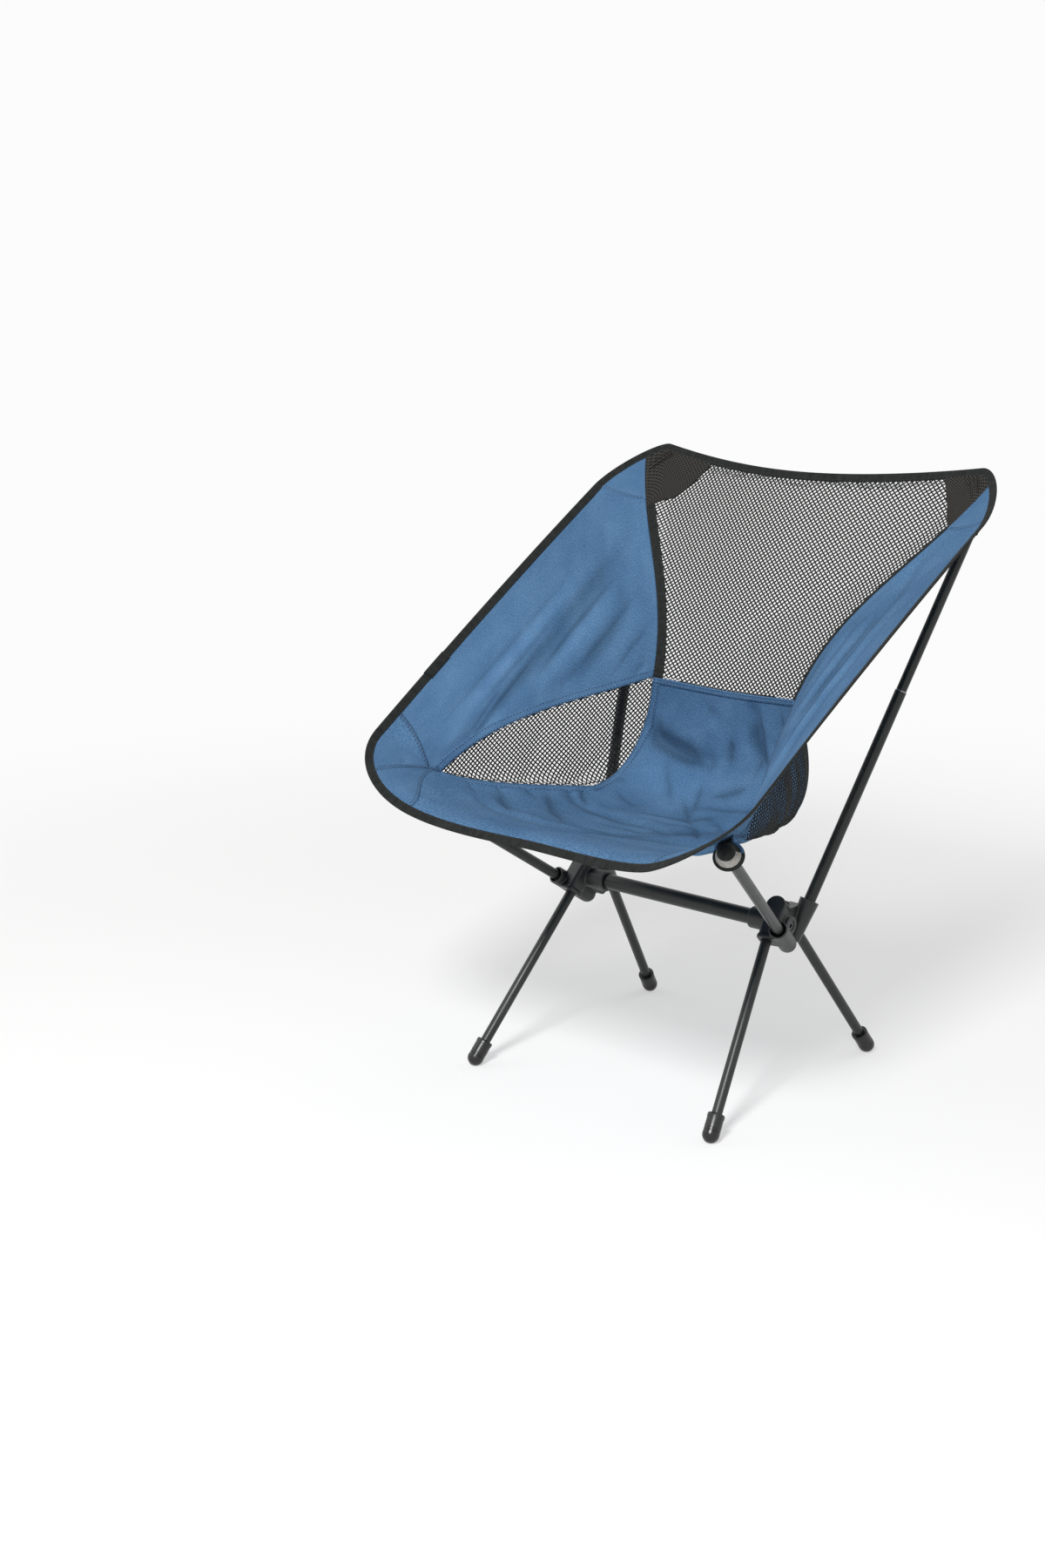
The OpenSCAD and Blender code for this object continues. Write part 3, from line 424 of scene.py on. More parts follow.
def wingOuter(u):
    if u < wingBack:
        return innerAt(1, netStop + (1 - netStop) * u / wingBack)
    if u < wingFront:
        return innerAt(2, (u - wingBack) / (wingFront - wingBack))
    return innerAt(3, (u - wingFront) / (1 - wingFront) * wingStop)


def wingInner(u):
    return bezier(netTop, u / wingFront) if u < wingFront else cornerSeam((u - wingFront) / (1 - wingFront))


def seatSide(v):
    if v < seatNet:
        return bezier(netBack, v / seatNet)
    if v < seatFront:
        return bezier(netLow, (v - seatNet) / (seatFront - seatNet))
    return cornerSeam((v - seatFront) / (1 - seatFront))


def hemHalf(t):  # from the middle of the front hem to the corner seam
    if t > hemStraight:
        return innerAt(3, 1 - (1 - turn) * (t - hemStraight) / (1 - hemStraight))
    return innerAt(4, 1 - t / hemStraight)


def topHalf(t):  # from the middle of the top edge to the wing seam
    if t < topStraight:
        return innerAt(0, t / topStraight)
    return innerAt(1, (t - topStraight) / (1 - topStraight) * netStop)


def coons(top, low, start, end):  # a patch held by four seams
    top, low, start, end = (sampled(c) for c in (top, low, start, end))
    corners = [top(0), top(1), low(0), low(1)]

    def point(u, v):
        flat = lerp(lerp(corners[0], corners[1], u), lerp(corners[2], corners[3], u), v)
        return lerp(top(u), low(u), v) + lerp(start(v), end(v), u) - flat
    return point


backLow = twoSided(lambda t: bezier(seamLow, 1 - t))
flatPanels = {
    "wing": coons(wingOuter, wingInner, lambda t: bezier(wingSeam, t),
                  lambda t: lerp(wingOuter(1), wingInner(1), t)),
    "seat": coons(backLow, twoSided(hemHalf), lambda t: flip(seatSide(t)), seatSide),
    "back": coons(twoSided(topHalf), backLow, lambda t: flip(bezier(wingSeam, t)),
                  lambda t: bezier(wingSeam, t)),
    "sideNet": coons(lambda t: bezier(netTop, t), lambda t: bezier(netLow, t),
                     lambda t: bezier(netBack, t), lambda t: netPoint),
}
panelSize = {  # across and down, in millimetres
    "wing": ((wingOuter(1) - wingOuter(0)).length, (wingOuter(0.4) - wingInner(0.4)).length),
    "seat": (2 * lowCorner.x, (innerAt(4, 1) - lowCorner).length + (lowCorner - seamMid).length),
    "back": (380, 260), "sideNet": (280, 110),
}
print("sling curves made")


# folds: line over the panel in (u, v), half width and depth in millimetres, away from the sitter;
# the narrow ones are sharp creases
folds = {
    "wing": [
        ([(0.04, 0.37), (0.29, 0.53), (0.5, 0.75), (0.63, 0.93)], 12, 3.5),
        ([(0.1, 0.7), (0.27, 0.87), (0.33, 0.91)], 10.2, 2.8),
        ([(0.14, 0.6), (0.3, 0.72), (0.4, 0.84)], 13.2, -2.1),
        ([(0.22, 0.4), (0.45, 0.5), (0.57, 0.6), (0.71, 0.8)], 18, -2.1),
        ([(0.24, 0.3), (0.55, 0.47), (0.7, 0.56)], 5, 1.4), ([(0.03, 0.93), (0.08, 0.97)], 4, 2),
        ([(0.17, 0.52), (0.42, 0.74)], 4, 1.6), ([(0.3, 0.46), (0.6, 0.7)], 4, 1.5),
        ([(0.1, 0.48), (0.3, 0.62), (0.44, 0.8)], 3.5, 1.5), ([(0.4, 0.6), (0.6, 0.84)], 3.5, 1.5),
        ([(0.06, 0.62), (0.2, 0.76), (0.3, 0.86)], 4, 1.6), ([(0.52, 0.66), (0.68, 0.9)], 3.5, 1.3),
        ([(0.02, 0.78), (0.1, 0.86), (0.16, 0.95)], 3.5, 1.6), ([(0.84, 0.5), (0.9, 0.9)], 4, 1.2),
    ],
    "seat": [
        ([(0.01, 0.1), (0.1, 0.138), (0.22, 0.154), (0.4, 0.171)], 12, 7.8),
        ([(0.02, 0.24), (0.3, 0.26), (0.5, 0.3)], 24, -3),
        ([(0.05, 0.51), (0.36, 0.55), (0.57, 0.56), (0.68, 0.4)], 9.6, 4.2),
        ([(0.16, 0.8), (0.38, 0.75), (0.55, 0.67), (0.8, 0.6)], 12, 4.2),
        ([(0.64, 0.03), (0.64, 0.1), (0.7, 0.15)], 8.4, 4.8),
        ([(0.005, 0.425), (0.05, 0.47), (0.13, 0.5)], 3, 5), ([(0.51, 0.28), (0.65, 0.22)], 5, 3.4),
        ([(0.51, 0.1), (0.52, 0.17)], 5, 3.4), ([(0.05, 0.7), (0.16, 0.76)], 5, 3.4),
        ([(0.02, 0.56), (0.13, 0.61), (0.28, 0.69)], 5, 3.6), ([(0.36, 0.04), (0.4, 0.06)], 9, 2),
        ([(0.3, 0.42), (0.5, 0.4), (0.62, 0.34)], 4, 3), ([(0.72, 0.45), (0.9, 0.5)], 5, 3),
        ([(0.44, 0.34), (0.7, 0.3), (0.86, 0.36)], 4.5, 2.6), ([(0.2, 0.2), (0.34, 0.33)], 4, 2.6),
        ([(0.3, 0.62), (0.5, 0.62), (0.66, 0.52)], 4, 2.6), ([(0.78, 0.1), (0.84, 0.26)], 5, 2.8),
        ([(0.02, 0.11), (0.12, 0.148), (0.26, 0.168), (0.42, 0.185)], 4.5, 4),
        ([(0.01, 0.5), (0.08, 0.515)], 3.5, 3), ([(0.01, 0.62), (0.07, 0.63)], 3.5, 3),
        ([(0.01, 0.7), (0.06, 0.71)], 3, 2.6), ([(0.01, 0.78), (0.07, 0.79)], 3.5, 2.4),
        ([(0.01, 0.3), (0.08, 0.31)], 3, 2.4), ([(0.42, 0.24), (0.47, 0.36)], 4, 2.4),
        ([(0.56, 0.36), (0.74, 0.42), (0.84, 0.56)], 4, 2.6), ([(0.6, 0.46), (0.7, 0.58)], 3.5, 2.4),
        ([(0.46, 0.48), (0.6, 0.46), (0.76, 0.5)], 3.5, 2.4), ([(0.36, 0.3), (0.56, 0.44)], 3.5, 2.4),
        ([(0.86, 0.2), (0.9, 0.4), (0.97, 0.52)], 4.5, 2.6), ([(0.7, 0.64), (0.9, 0.6)], 4, 2.4),
        ([(0.68, 0.02), (0.7, 0.12), (0.66, 0.2)], 4, 3), ([(0.84, 0.02), (0.86, 0.14)], 4, 2.6),
        ([(0.2, 0.72), (0.44, 0.69), (0.6, 0.6)], 3.5, 2.2), ([(0.1, 0.36), (0.26, 0.4)], 4, 2),
    ],
    "back": [([(0.55, 0.75), (0.85, 0.55)], 22, 2.5)],
    "sideNet": [
        ([(0.12, 0.1), (0.2, 0.9)], 12, 2.5), ([(0.32, 0.1), (0.36, 0.9)], 11, -2),
        ([(0.5, 0.1), (0.5, 0.9)], 10, 2),
    ],
}
ripple = {"wing": (0.4, 36), "seat": (1.0, 24), "back": (0.5, 60), "sideNet": (1.2, 34)}  # height, length
noiseLayer = 3.7  # the slice of the noise that the ripples are read from
foldLook = {
    "rim": 24, "creaseRim": 7,  # cloth left smooth along the seams
    "creaseHalf": 6, "creaseRound": 0.5, "taper": 0.35, "endShare": 0.3,  # creases are narrower, and taper
    # painted shade in the cloth's colour: how much each ripple, crease and fold puts in, and its limits
    "rippleShade": 0.3, "creaseShade": 1.6, "foldShade": 0.75, "fullShadeAt": 4, "leastShade": -0.4, "mostShade": 0.9,
}


def foldAt(panel, u, v):  # depth in millimetres, and painted shade: near 1 down in a crease, below 0 (painted light) on a ridge
    wide, tall = panelSize[panel]
    here = Vector((u * wide, v * tall))
    rim = min(u * wide, (1 - u) * wide, v * tall, (1 - v) * tall)
    rise, length = ripple[panel]
    broad = rise * noise.fractal(Vector((here.x / length, here.y / length, noiseLayer)), 1.0, 2.0, 3)
    fine, paintedShade, taper = 0, foldLook["rippleShade"] * broad, foldLook["taper"]
    for line, half, deep in folds[panel]:
        spots = [Vector((a * wide, b * tall)) for a, b in line]
        away, along, run = math.inf, 0, 0
        for a, b in zip(spots, spots[1:]):
            t = min(max((here - a).dot(b - a) / (b - a).length_squared, 0), 1)
            gap = (here - a - (b - a) * t).length
            if gap < away:
                away, along = gap, run + t * (b - a).length
            run += (b - a).length
        ends = smooth(0, taper, along / run) * smooth(0, taper, 1 - along / run)
        if half < foldLook["creaseHalf"]:
            sharp = math.exp(-math.hypot(away, foldLook["creaseRound"]) / half)
            crease = deep * sharp * lerp(foldLook["endShare"], 1, ends)
            fine, paintedShade = fine + crease, paintedShade + foldLook["creaseShade"] * crease
        else:
            fold = deep * math.exp(-(away / half) ** 2)
            broad, paintedShade = broad + fold, paintedShade + foldLook["foldShade"] * fold * ends
    inside = smooth(0, foldLook["rim"], rim)
    depth = broad * inside + fine * smooth(0, foldLook["creaseRim"], rim)
    return depth, min(max(paintedShade * inside / foldLook["fullShadeAt"], foldLook["leastShade"]), foldLook["mostShade"])


def panelPoint(panel, u, v):
    base = flatPanels[panel]
    p, step = base(u, v), 0.004
    normal = (base(u + step, v) - base(u - step, v)).cross(base(u, v + step) - base(u, v - step))
    if normal.length > 1e-9:
        p = p + normal.normalized() * foldAt(panel, u, v)[0]
    if panel == "seat":  # the front edge rolls down under its binding
        back = (1 - v) * panelSize["seat"][1] / sling["hemRollAt"]
        share = back * math.exp(1 - back) * smooth(0, sling["hemRollEnds"], min(u, 1 - u))
        p = p + Vector((0, 0, sling["hemRoll"] * share))
    if panel == "sideNet":
        p = p + at["bellyWay"] * sling["netBelly"] * hump(v) * hump(u * sling["bellyShare"])
    return p


def surfaceAt(panel, side, u, v):  # frame point; on seat and back, u counts from that side's seam
    if panel in ("seat", "back"):
        return inFrame(panelPoint(panel, u if side == "left" else 1 - u, v))
    return inFrame(panelPoint(panel, u, v), sides[side])


def stepIn(panel, spot, way, wide):  # the (u, v) this many millimetres in from a spot
    small = 0.01
    near = flatPanels[panel](*spot)
    far = flatPanels[panel](spot[0] + way[0] * small, spot[1] + way[1] * small)
    share = wide * small / (far - near).length
    return spot[0] + way[0] * share, spot[1] + way[1] * share


# pieces

def finishPiece(bm, name, materials, slot, body="frame", thick=0, offset=0, smoothed=True):
    data = bpy.data.meshes.new(name)
    bm.to_mesh(data)
    bm.free()
    for material in materials:
        data.materials.append(material)
    if smoothed:
        data.shade_smooth()
    piece = bpy.data.objects.new(name, data)
    bpy.context.scene.collection.objects.link(piece)
    if thick:
        shell = piece.modifiers.new("thickness", "SOLIDIFY")
        shell.thickness, shell.offset = thick * mm, offset
    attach(piece, body)
    return piece


def gridMesh(steps, place, uvSize, paintedShadeAt=None):
    bm = bmesh.new()
    uvLayer = bm.loops.layers.uv.new("weave")
    bmesh.ops.create_grid(bm, x_segments=steps[0], y_segments=steps[1], size=0.5, calc_uvs=True)
    for face in bm.faces:
        for loop in face.loops:
            loop[uvLayer].uv = (loop[uvLayer].uv.x * uvSize[0] * mm,
                                loop[uvLayer].uv.y * uvSize[1] * mm)
    # painted shade of the folds, kept at each point for the cloth's colour
    crease = bm.verts.layers.float.new("crease") if paintedShadeAt else None
    for vert in bm.verts:
        u, v = vert.co.x + 0.5, vert.co.y + 0.5
        vert.co = place(u, v)
        if paintedShadeAt:
            vert[crease] = paintedShadeAt(u, v)
    return bm


cloth = {"thick": 0.8, "seatSteps": (150, 170), "wingSteps": (170, 90)}


def panelPiece(panel, name, steps, side):
    # the cloth carries the painted shade of its folds as a point attribute
    bm = gridMesh(steps, lambda u, v: surfaceAt(panel, side, u, v), panelSize[panel],
                  lambda u, v: foldAt(panel, u, v)[1])
    return finishPiece(bm, name, [blueCloth], "blue_cloth", thick=cloth["thick"])


seatPanel = panelPiece("seat", "seatCloth", cloth["seatSteps"], "left")
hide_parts("seat_panel")
for side in sides:
    panelPiece("wing", "wingCloth." + side, cloth["wingSteps"], side)
    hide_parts("wing_" + side)
print("cloth panels made")


# net: a diagonal lattice laid on the panel, with a real hole in every mesh

net = {"pitch": 4.2, "strand": 1.52, "thick": 0.6, "smallest": 0.35, "castFrom": 100, "weld": 0.4,
       "backSteps": (90, 60), "sideSteps": (70, 50), "backSeen": (0, -1, 0.35),
       "sideSeen": (-0.91, -0.4, 0.1)}


def netPiece(panel, name, towards, side, steps):
    under = gridMesh(steps, lambda u, v: surfaceAt(panel, side, u, v), (1, 1))
    surface = BVHTree.FromBMesh(under)
    normal = Vector(towards).normalized()
    if panel == "sideNet":
        normal.x *= sides[side]
    across = normal.cross(Vector((0, 0, 1))).normalized()
    upward = across.cross(normal)
    spots = [(v.co.dot(across), v.co.dot(upward), v.co.dot(normal)) for v in under.verts]
    under.free()
    low, high = ([fn(s[i] for s in spots) for i in range(3)] for fn in (min, max))
    half = net["pitch"] * mm / math.sqrt(2)
    count = [int((high[i] - low[i]) / half) + 3 for i in range(2)]
    bm = bmesh.new()
    bmesh.ops.create_grid(bm, x_segments=count[0], y_segments=count[1], size=0.5)
    parity = {}
    for vert in bm.verts:
        i, j = round((vert.co.x + 0.5) * count[0]), round((vert.co.y + 0.5) * count[1])
        parity[vert] = (i + j) % 2
        vert.co = (across * (low[0] + (i - 1) * half) + upward * (low[1] + (j - 1) * half)
                   + normal * (high[2] + net["castFrom"] * mm))
    even = [v for v in bm.verts if parity[v] == 0]
    odd = [v for v in bm.verts if parity[v] == 1 and not v.is_boundary]
    bmesh.ops.connect_verts(bm, verts=even)
    bmesh.ops.dissolve_verts(bm, verts=odd)
    missed = set()
    for vert in bm.verts:
        hit = surface.ray_cast(vert.co, -normal)[0]
        if hit is None:
            missed.add(vert)
        else:
            vert.co = hit
    empty = [f for f in bm.faces if all(v in missed for v in f.verts)]
    bmesh.ops.delete(bm, geom=empty, context="FACES")
    for vert in missed:
        if vert.is_valid:  # beside the panel: onto its seam, at the depth of the next mesh
            near = [e.other_vert(vert) for e in vert.link_edges if e.other_vert(vert) not in missed]
            depth = sum(n.co.dot(normal) for n in near) / len(near) if near else high[2]
            vert.co = surface.find_nearest(vert.co + normal * (depth - vert.co.dot(normal)))[0]
    bmesh.ops.remove_doubles(bm, verts=bm.verts[:], dist=net["weld"] * mm)
    slivers = [f for f in bm.faces if f.calc_area() < net["smallest"] * 2 * half * half]
    bmesh.ops.delete(bm, geom=slivers, context="FACES")  # squeezed meshes along the seam
    holes = bm.faces[:]
    bmesh.ops.inset_individual(bm, faces=holes, thickness=net["strand"] * mm / math.sqrt(2),
                               use_even_offset=False)
    bmesh.ops.delete(bm, geom=holes, context="FACES")
    return finishPiece(bm, name, [netThread], "black_net", thick=net["thick"], smoothed=False)


backNet = netPiece("back", "backNet", net["backSeen"], "left", net["backSteps"])
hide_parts("back_net")
for side in sides:
    netPiece("sideNet", "sideNet." + side, net["sideSeen"], side, net["sideSteps"])
    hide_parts("side_net_" + side)


# binding: tape folded over the whole edge

binding = {"along": 600, "around": 16, "wide": sling["bindingWide"], "thick": sling["bindingThick"],
           "girth": 24, "flatEnds": 0.3, "flatFaces": 0.6, "rowIn": 8.3, "rowSteps": 700,
           "joinEdge": 2, "joinFrom": 0.715, "joinTo": 0.795, "joinMore": 0.8, "joinWall": 0.5,
           "joinAlong": 16, "joinSize": (30, 26)}
edgeLengths = [(bezier(e, 0.5) - e[0]).length + (e[3] - bezier(e, 0.5)).length for e in edges]
edgeTotal = sum(edgeLengths)


def edgePlace(h):  # 0 at the middle of the top, 1 at the middle of the front hem
    left = min(max(h, 0), 1) * edgeTotal
    for k, length in enumerate(edgeLengths):
        if left <= length or k == len(edges) - 1:
            return k, min(left / length, 1)
        left -= length


def bindingRing(k, t, w, more=0):
    along, inward = edgeFrame(k, t)
    up = along.cross(inward).normalized()
    c, n = math.cos(2 * math.pi * w), math.sin(2 * math.pi * w)
    half = binding["wide"] / 2
    reach = half - (half + more) * math.copysign(abs(c) ** binding["flatEnds"], c)
    rise = (binding["thick"] / 2 + more) * math.copysign(abs(n) ** binding["flatFaces"], n)
    return edgeAt(k, t) + inward * reach + up * rise


def wholeEdge(s, w):
    p = bindingRing(*edgePlace(1 - abs(1 - 2 * s)), w)
    return inFrame(p if s <= 0.5 else flip(p))


def joinOver(s, w):  # where the two ends of the tape meet, on the left
    t = lerp(binding["joinFrom"], binding["joinTo"], s)
    return inFrame(bindingRing(binding["joinEdge"], t, w, binding["joinMore"]), sides["left"])


def bindingPiece(name, along, place, size, wall=0):
    bm = gridMesh((along, binding["around"]), place, size)
    bmesh.ops.remove_doubles(bm, verts=bm.verts[:], dist=weldGap)
    bmesh.ops.recalc_face_normals(bm, faces=bm.faces[:])
    return finishPiece(bm, name, [tape], "black_webbing", thick=wall, offset=-1)


edgeBinding = bindingPiece("edgeBinding", binding["along"], wholeEdge, (2 * edgeTotal, binding["girth"]))
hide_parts("binding_top", "binding_left", "binding_right", "binding_front")
bindingJoin = bindingPiece("bindingJoin", binding["joinAlong"], joinOver, binding["joinSize"],
                           binding["joinWall"])
print("binding made")


# hems, tapes and second layers that lie on the panels

stitch = {"pitch": 4.2, "long": 3.2, "wide": 1.1, "high": 0.7}
sewn = {"navyStitches": bmesh.new(), "blackStitches": bmesh.new()}


def sewRow(thread, spotAt, lift, count=160):  # spotAt gives a frame point and the cloth's normal
    row = bmesh.new()
    spots = [spotAt(i / count) for i in range(count + 1)]
    travelled, due, pitch = 0, 0.5, stitch["pitch"] * mm
    for (a, normal), (b, _) in zip(spots, spots[1:]):
        span = (b - a).length
        while span > 1e-7 and travelled + span >= due * pitch:
            way = (b - a).normalized()
            up = (normal - normal.dot(way) * way).normalized()
            for face in (1, -1):
                spot = a.lerp(b, (due * pitch - travelled) / span) + up * (lift * mm * face)
                axes = Matrix([way * stitch["long"], up.cross(way) * stitch["wide"], up * stitch["high"]])
                bmesh.ops.create_icosphere(row, subdivisions=1, radius=0.0005, matrix=(
                    Matrix.Translation(spot) @ axes.transposed().to_4x4()))
            due += 1
        travelled += span
    joined = bpy.data.meshes.new("row")
    row.to_mesh(joined)
    row.free()
    sewn[thread].from_mesh(joined)
    bpy.data.meshes.remove(joined)


def sewOn(thread, panel, side, line, lift):
    def spotAt(s, step=0.004):
        u, v = line(s)
        a = surfaceAt(panel, side, u + step, v) - surfaceAt(panel, side, u - step, v)
        b = surfaceAt(panel, side, u, v + step) - surfaceAt(panel, side, u, v - step)
        return surfaceAt(panel, side, u, v), a.cross(b).normalized()
    sewRow(thread, spotAt, lift)


blueSewn = (blueCloth, "blue_cloth", "navyStitches")  # material, slot, thread
tapeSewn = (tape, "black_webbing", "blackStitches")
netSewn = (patchNet, "black_net", "blackStitches")
layers = {  # panel, seam line, way in, width and thickness in millimetres, what it is made of
    "windowHem": ("wing", lambda s: (wingFront * s, 1), (0, -1), 10, 1.9, blueSewn),
    "windowSide": ("seat", lambda s: (0, seatFront * s), (1, 0), 9, 1.9, blueSewn),
    "cornerSeam": ("wing", lambda s: (lerp(wingFront, 1, s), 1), (0, -1), 6, 2.0, blueSewn),
    "seamTape": ("back", lambda s: (0, s), (1, 0), 12, 1.6, tapeSewn),
}
hem = {"steps": (90, 6), "long": 330, "rowIn": 1.8, "twoRows": 4.6, "tapeRight": 4.5, "seatTopWide": 8,
       "seatTopThick": 1.9, "seatTopSteps": (90, 5), "seatTopLong": 200}
onCloth = {"seat": [], "left": [], "right": [], "back": []}


def layerPiece(name, panel, side, near, far, steps, thick, material, slot, size):
    def place(s, w):
        return surfaceAt(panel, side, *Vector(near(s)).lerp(Vector(far(s)), w))
    bm = gridMesh(steps, place, size)
    bmesh.ops.remove_doubles(bm, verts=bm.verts[:], dist=weldGap)
    piece = finishPiece(bm, name, [material], slot, thick=thick)
    onCloth[side if panel == "wing" else panel].append(piece)
    return piece


for name, (panel, line, way, wide, thick, (material, slot, thread)) in layers.items():
    for side in sides:
        broad = hem["tapeRight"] if (name, side) == ("seamTape", "right") else wide
        layerPiece(name + "." + side, panel, side, line, lambda s: stepIn(panel, line(s), way, broad),
                   hem["steps"], thick, material, slot, (hem["long"], broad))
        rows = (hem["rowIn"], broad - hem["rowIn"]) if broad > hem["twoRows"] else (broad / 2,)
        for inset in rows:
            sewOn(thread, panel, side, lambda s: stepIn(panel, line(s), way, inset), thick / 2)


def seatTop(inset):  # the line this far in from the seat's back seam
    return lambda s: stepIn("seat", (s, 0), (0, 1), inset)


layerPiece("seatTopHem", "seat", "left", seatTop(0), seatTop(hem["seatTopWide"]), hem["seatTopSteps"],
           hem["seatTopThick"], blueCloth, "blue_cloth", (hem["seatTopLong"], hem["seatTopWide"]))
for inset in (hem["rowIn"], hem["seatTopWide"] - hem["rowIn"]):
    sewOn("navyStitches", "seat", "left", seatTop(inset), hem["seatTopThick"] / 2)
print("hems made")


# corner patches: a curved edge with two rows of stitches, laid over the panel's corner;
# reaches are shares of the panel along u and v, and the power says how round the curve is

patch = {
    "steps": (40, 24), "size": (100, 80), "rows": (1.6, 4.6), "netThick": 1.9, "clothThick": 1.7,
    "net": {"left": (0.243, 0.245, 0.48), "right": (0.152, 0.206, 0.67)}, "top": (0.178, 0.207, 0.75),
    "frontFrom": 0.753, "frontMore": 0.087, "frontPower": 2.2,
    "hemFrom": 0.87, "hemReach": 0.155, "hemPower": 1.6, "sewnFrom": 0.01, "sewnShare": 0.95,
}


def topCurve(reachU, reachV, power):
    return lambda s: (reachU * max(1 - s, 0) ** power, reachV * s)


def topEdge(reachU, reachV, power):
    return lambda s: (0, reachV * s)


def frontCurve(s):
    return patch["frontFrom"] + patch["frontMore"] * s ** patch["frontPower"], s


def hemEdge(s):
    return 0, lerp(patch["hemFrom"], 1, s)


def hemCurve(s):
    return patch["hemReach"] * max(math.sin(math.pi / 2 * s), 0) ** patch["hemPower"], hemEdge(s)[1]


for side in sides:
    netShape, topShape, thickness = patch["net"][side], patch["top"], patch["clothThick"]
    patches = {  # panel, edge line, curved line, way in from the curve, thickness, what it is made of
        "netPatch": ("back", topEdge(*netShape), topCurve(*netShape), (-1, 0), patch["netThick"], netSewn),
        "topPatch": ("wing", topEdge(*topShape), topCurve(*topShape), (-1, 0), thickness, blueSewn),
        "frontPatch": ("wing", lambda s: (1, s), frontCurve, (1, 0), thickness, blueSewn),
        "hemPatch": ("seat", hemEdge, hemCurve, (-1, 0), thickness, blueSewn),
    }
    for name, (panel, edge, curve, way, thick, (material, slot, thread)) in patches.items():
        layerPiece(name + "." + side, panel, side, edge, curve, patch["steps"], thick, material, slot,
                   patch["size"])
        for inset in patch["rows"]:
            def besideCurve(s):
                return stepIn(panel, curve(patch["sewnFrom"] + patch["sewnShare"] * s), way, inset)
            sewOn(thread, panel, side, besideCurve, thick / 2)
print("patches made")


# stitches along the binding's inner edge

for sign in sides.values():
    def alongBinding(h):
        k, t = edgePlace(h)
        along, inward = edgeFrame(k, t)
        up = along.cross(inward).normalized()
        return inFrame(edgeAt(k, t) + inward * binding["rowIn"], sign), Vector((up.x * sign, up.y, up.z))
    sewRow("blackStitches", alongBinding, binding["thick"] / 2, binding["rowSteps"])
print("binding sewn")


# round pieces: rings along an axis, as distance, half width and half height in millimetres

def ringTube(rings, segments=40, capStart=False, capEnd=False):
    bm = bmesh.new()
    loop = bmesh.ops.create_circle(bm, cap_ends=False, segments=segments, radius=1)["verts"]
    outline, before = bm.edges[:], (1, 1)
    for i, (far, wide, tall) in enumerate(rings):
        if i:
            grown = bmesh.ops.extrude_edge_only(bm, edges=outline)["geom"]
            loop = [g for g in grown if isinstance(g, bmesh.types.BMVert)]
            outline = [g for g in grown if isinstance(g, bmesh.types.BMEdge)]
        elif capStart:
            bmesh.ops.contextual_create(bm, geom=outline)
        for vert in loop:
            vert.co = (vert.co.x * wide / before[0], vert.co.y * tall / before[1], far)
        before = (wide, tall)
    if capEnd:
        bmesh.ops.contextual_create(bm, geom=outline)
    bmesh.ops.recalc_face_normals(bm, faces=bm.faces[:])
    return bm


def standOn(bm, place, way, sign):  # local +Z along a right-side axis, mirrored for the left
    z = way.normalized()
    x = z.cross(Vector((0, 0, 1))).normalized()
    turned = Matrix([x, z.cross(x), z]).transposed().to_4x4()
    bmesh.ops.transform(bm, matrix=Matrix.Translation(place) @ turned, verts=bm.verts[:])
    for vert in bm.verts:
        vert.co = inFrame(vert.co, sign)
    bmesh.ops.recalc_face_normals(bm, faces=bm.faces[:])


armWay, backWay = ((at[k] - at["fork"]).normalized() for k in ("armEnd", "backEnd"))

# pockets over the pole tips: a black cap, and on the arms a skirt that flares to a hem,
# black below and blue above, where it is sewn to the cloth; the skirt's underside is grey, a painted
# reflection of the pale floor

pocket = {"wall": 0.9, "neck": 9, "upper": (0.25, 0.9), "under": -0.3, "clothGap": 0.6, "clothNear": 24,
          "clothSteps": (60, 40), "uvAround": 0.008}
pockets = {  # end, way, rings, and the span along the axis, from the tip, where the skirt shows
    "armPocket": ("armEnd", armWay, [
        (-20.9, 15.0, 14.7), (-20.6, 16.0, 15.4), (-20, 16.1, 15.5), (-17.6, 13.5, 13.3),
        (-17.3, 12.9, 12.8), (-14, 10.9, 10.7), (-11, 9.5, 9.3), (-9, 8.9, 8.7), (-8.6, 9.3, 9.1),
        (-6, 8.8, 8.6), (-3, 7.6, 7.5), (-0.6, 5.8, 5.7), (0.9, 3.4, 3.4), (1.6, 1.2, 1.2)],
                  (-17.35, -8.8)),
    "backPocket": ("backEnd", backWay, [
        (-58, 7.9, 7.9), (-57.4, 8.3, 8.3), (-52.6, 8.2, 8.2), (-52.2, 7.6, 7.6), (-30, 7.7, 7.7),
        (-6, 7.6, 7.6), (-3, 7.0, 7.0), (-0.6, 5.5, 5.5), (0.9, 3.4, 3.4), (1.6, 1.2, 1.2)], (-60, -60)),
}
armAcross = armWay.cross(Vector((0, 0, 1))).normalized()
armTurn = Matrix([armAcross, armWay.cross(armAcross), armWay]).transposed()
clothOver = []
for panel in ("wing", "seat"):
    bm = gridMesh(pocket["clothSteps"], lambda u, v: surfaceAt(panel, "right", u, v), (1, 1))
    clothOver.append(BVHTree.FromBMesh(bm))
    bm.free()


def sewUp(bm, mouth):  # the mouth's upper side is drawn up to the cloth and sewn there
    for vert in bm.verts:
        flat = Vector((vert.co.x, vert.co.y, 0))
        share = (smooth(*pocket["upper"], -flat.y / flat.length)
                 * smooth(pocket["neck"], mouth, flat.length))
        if share > 0:
            start, away = inFrame(at["armEnd"] + armWay * vert.co.z), armTurn @ flat.normalized()
            hits = [tree.ray_cast(start, away)[3] for tree in clothOver]
            far = min([h * 1000 for h in hits if h] + [pocket["clothNear"]])
            if far < pocket["clothNear"]:
                reach = max(far - pocket["clothGap"], flat.length)
                vert.co += flat.normalized() * (reach - flat.length) * share


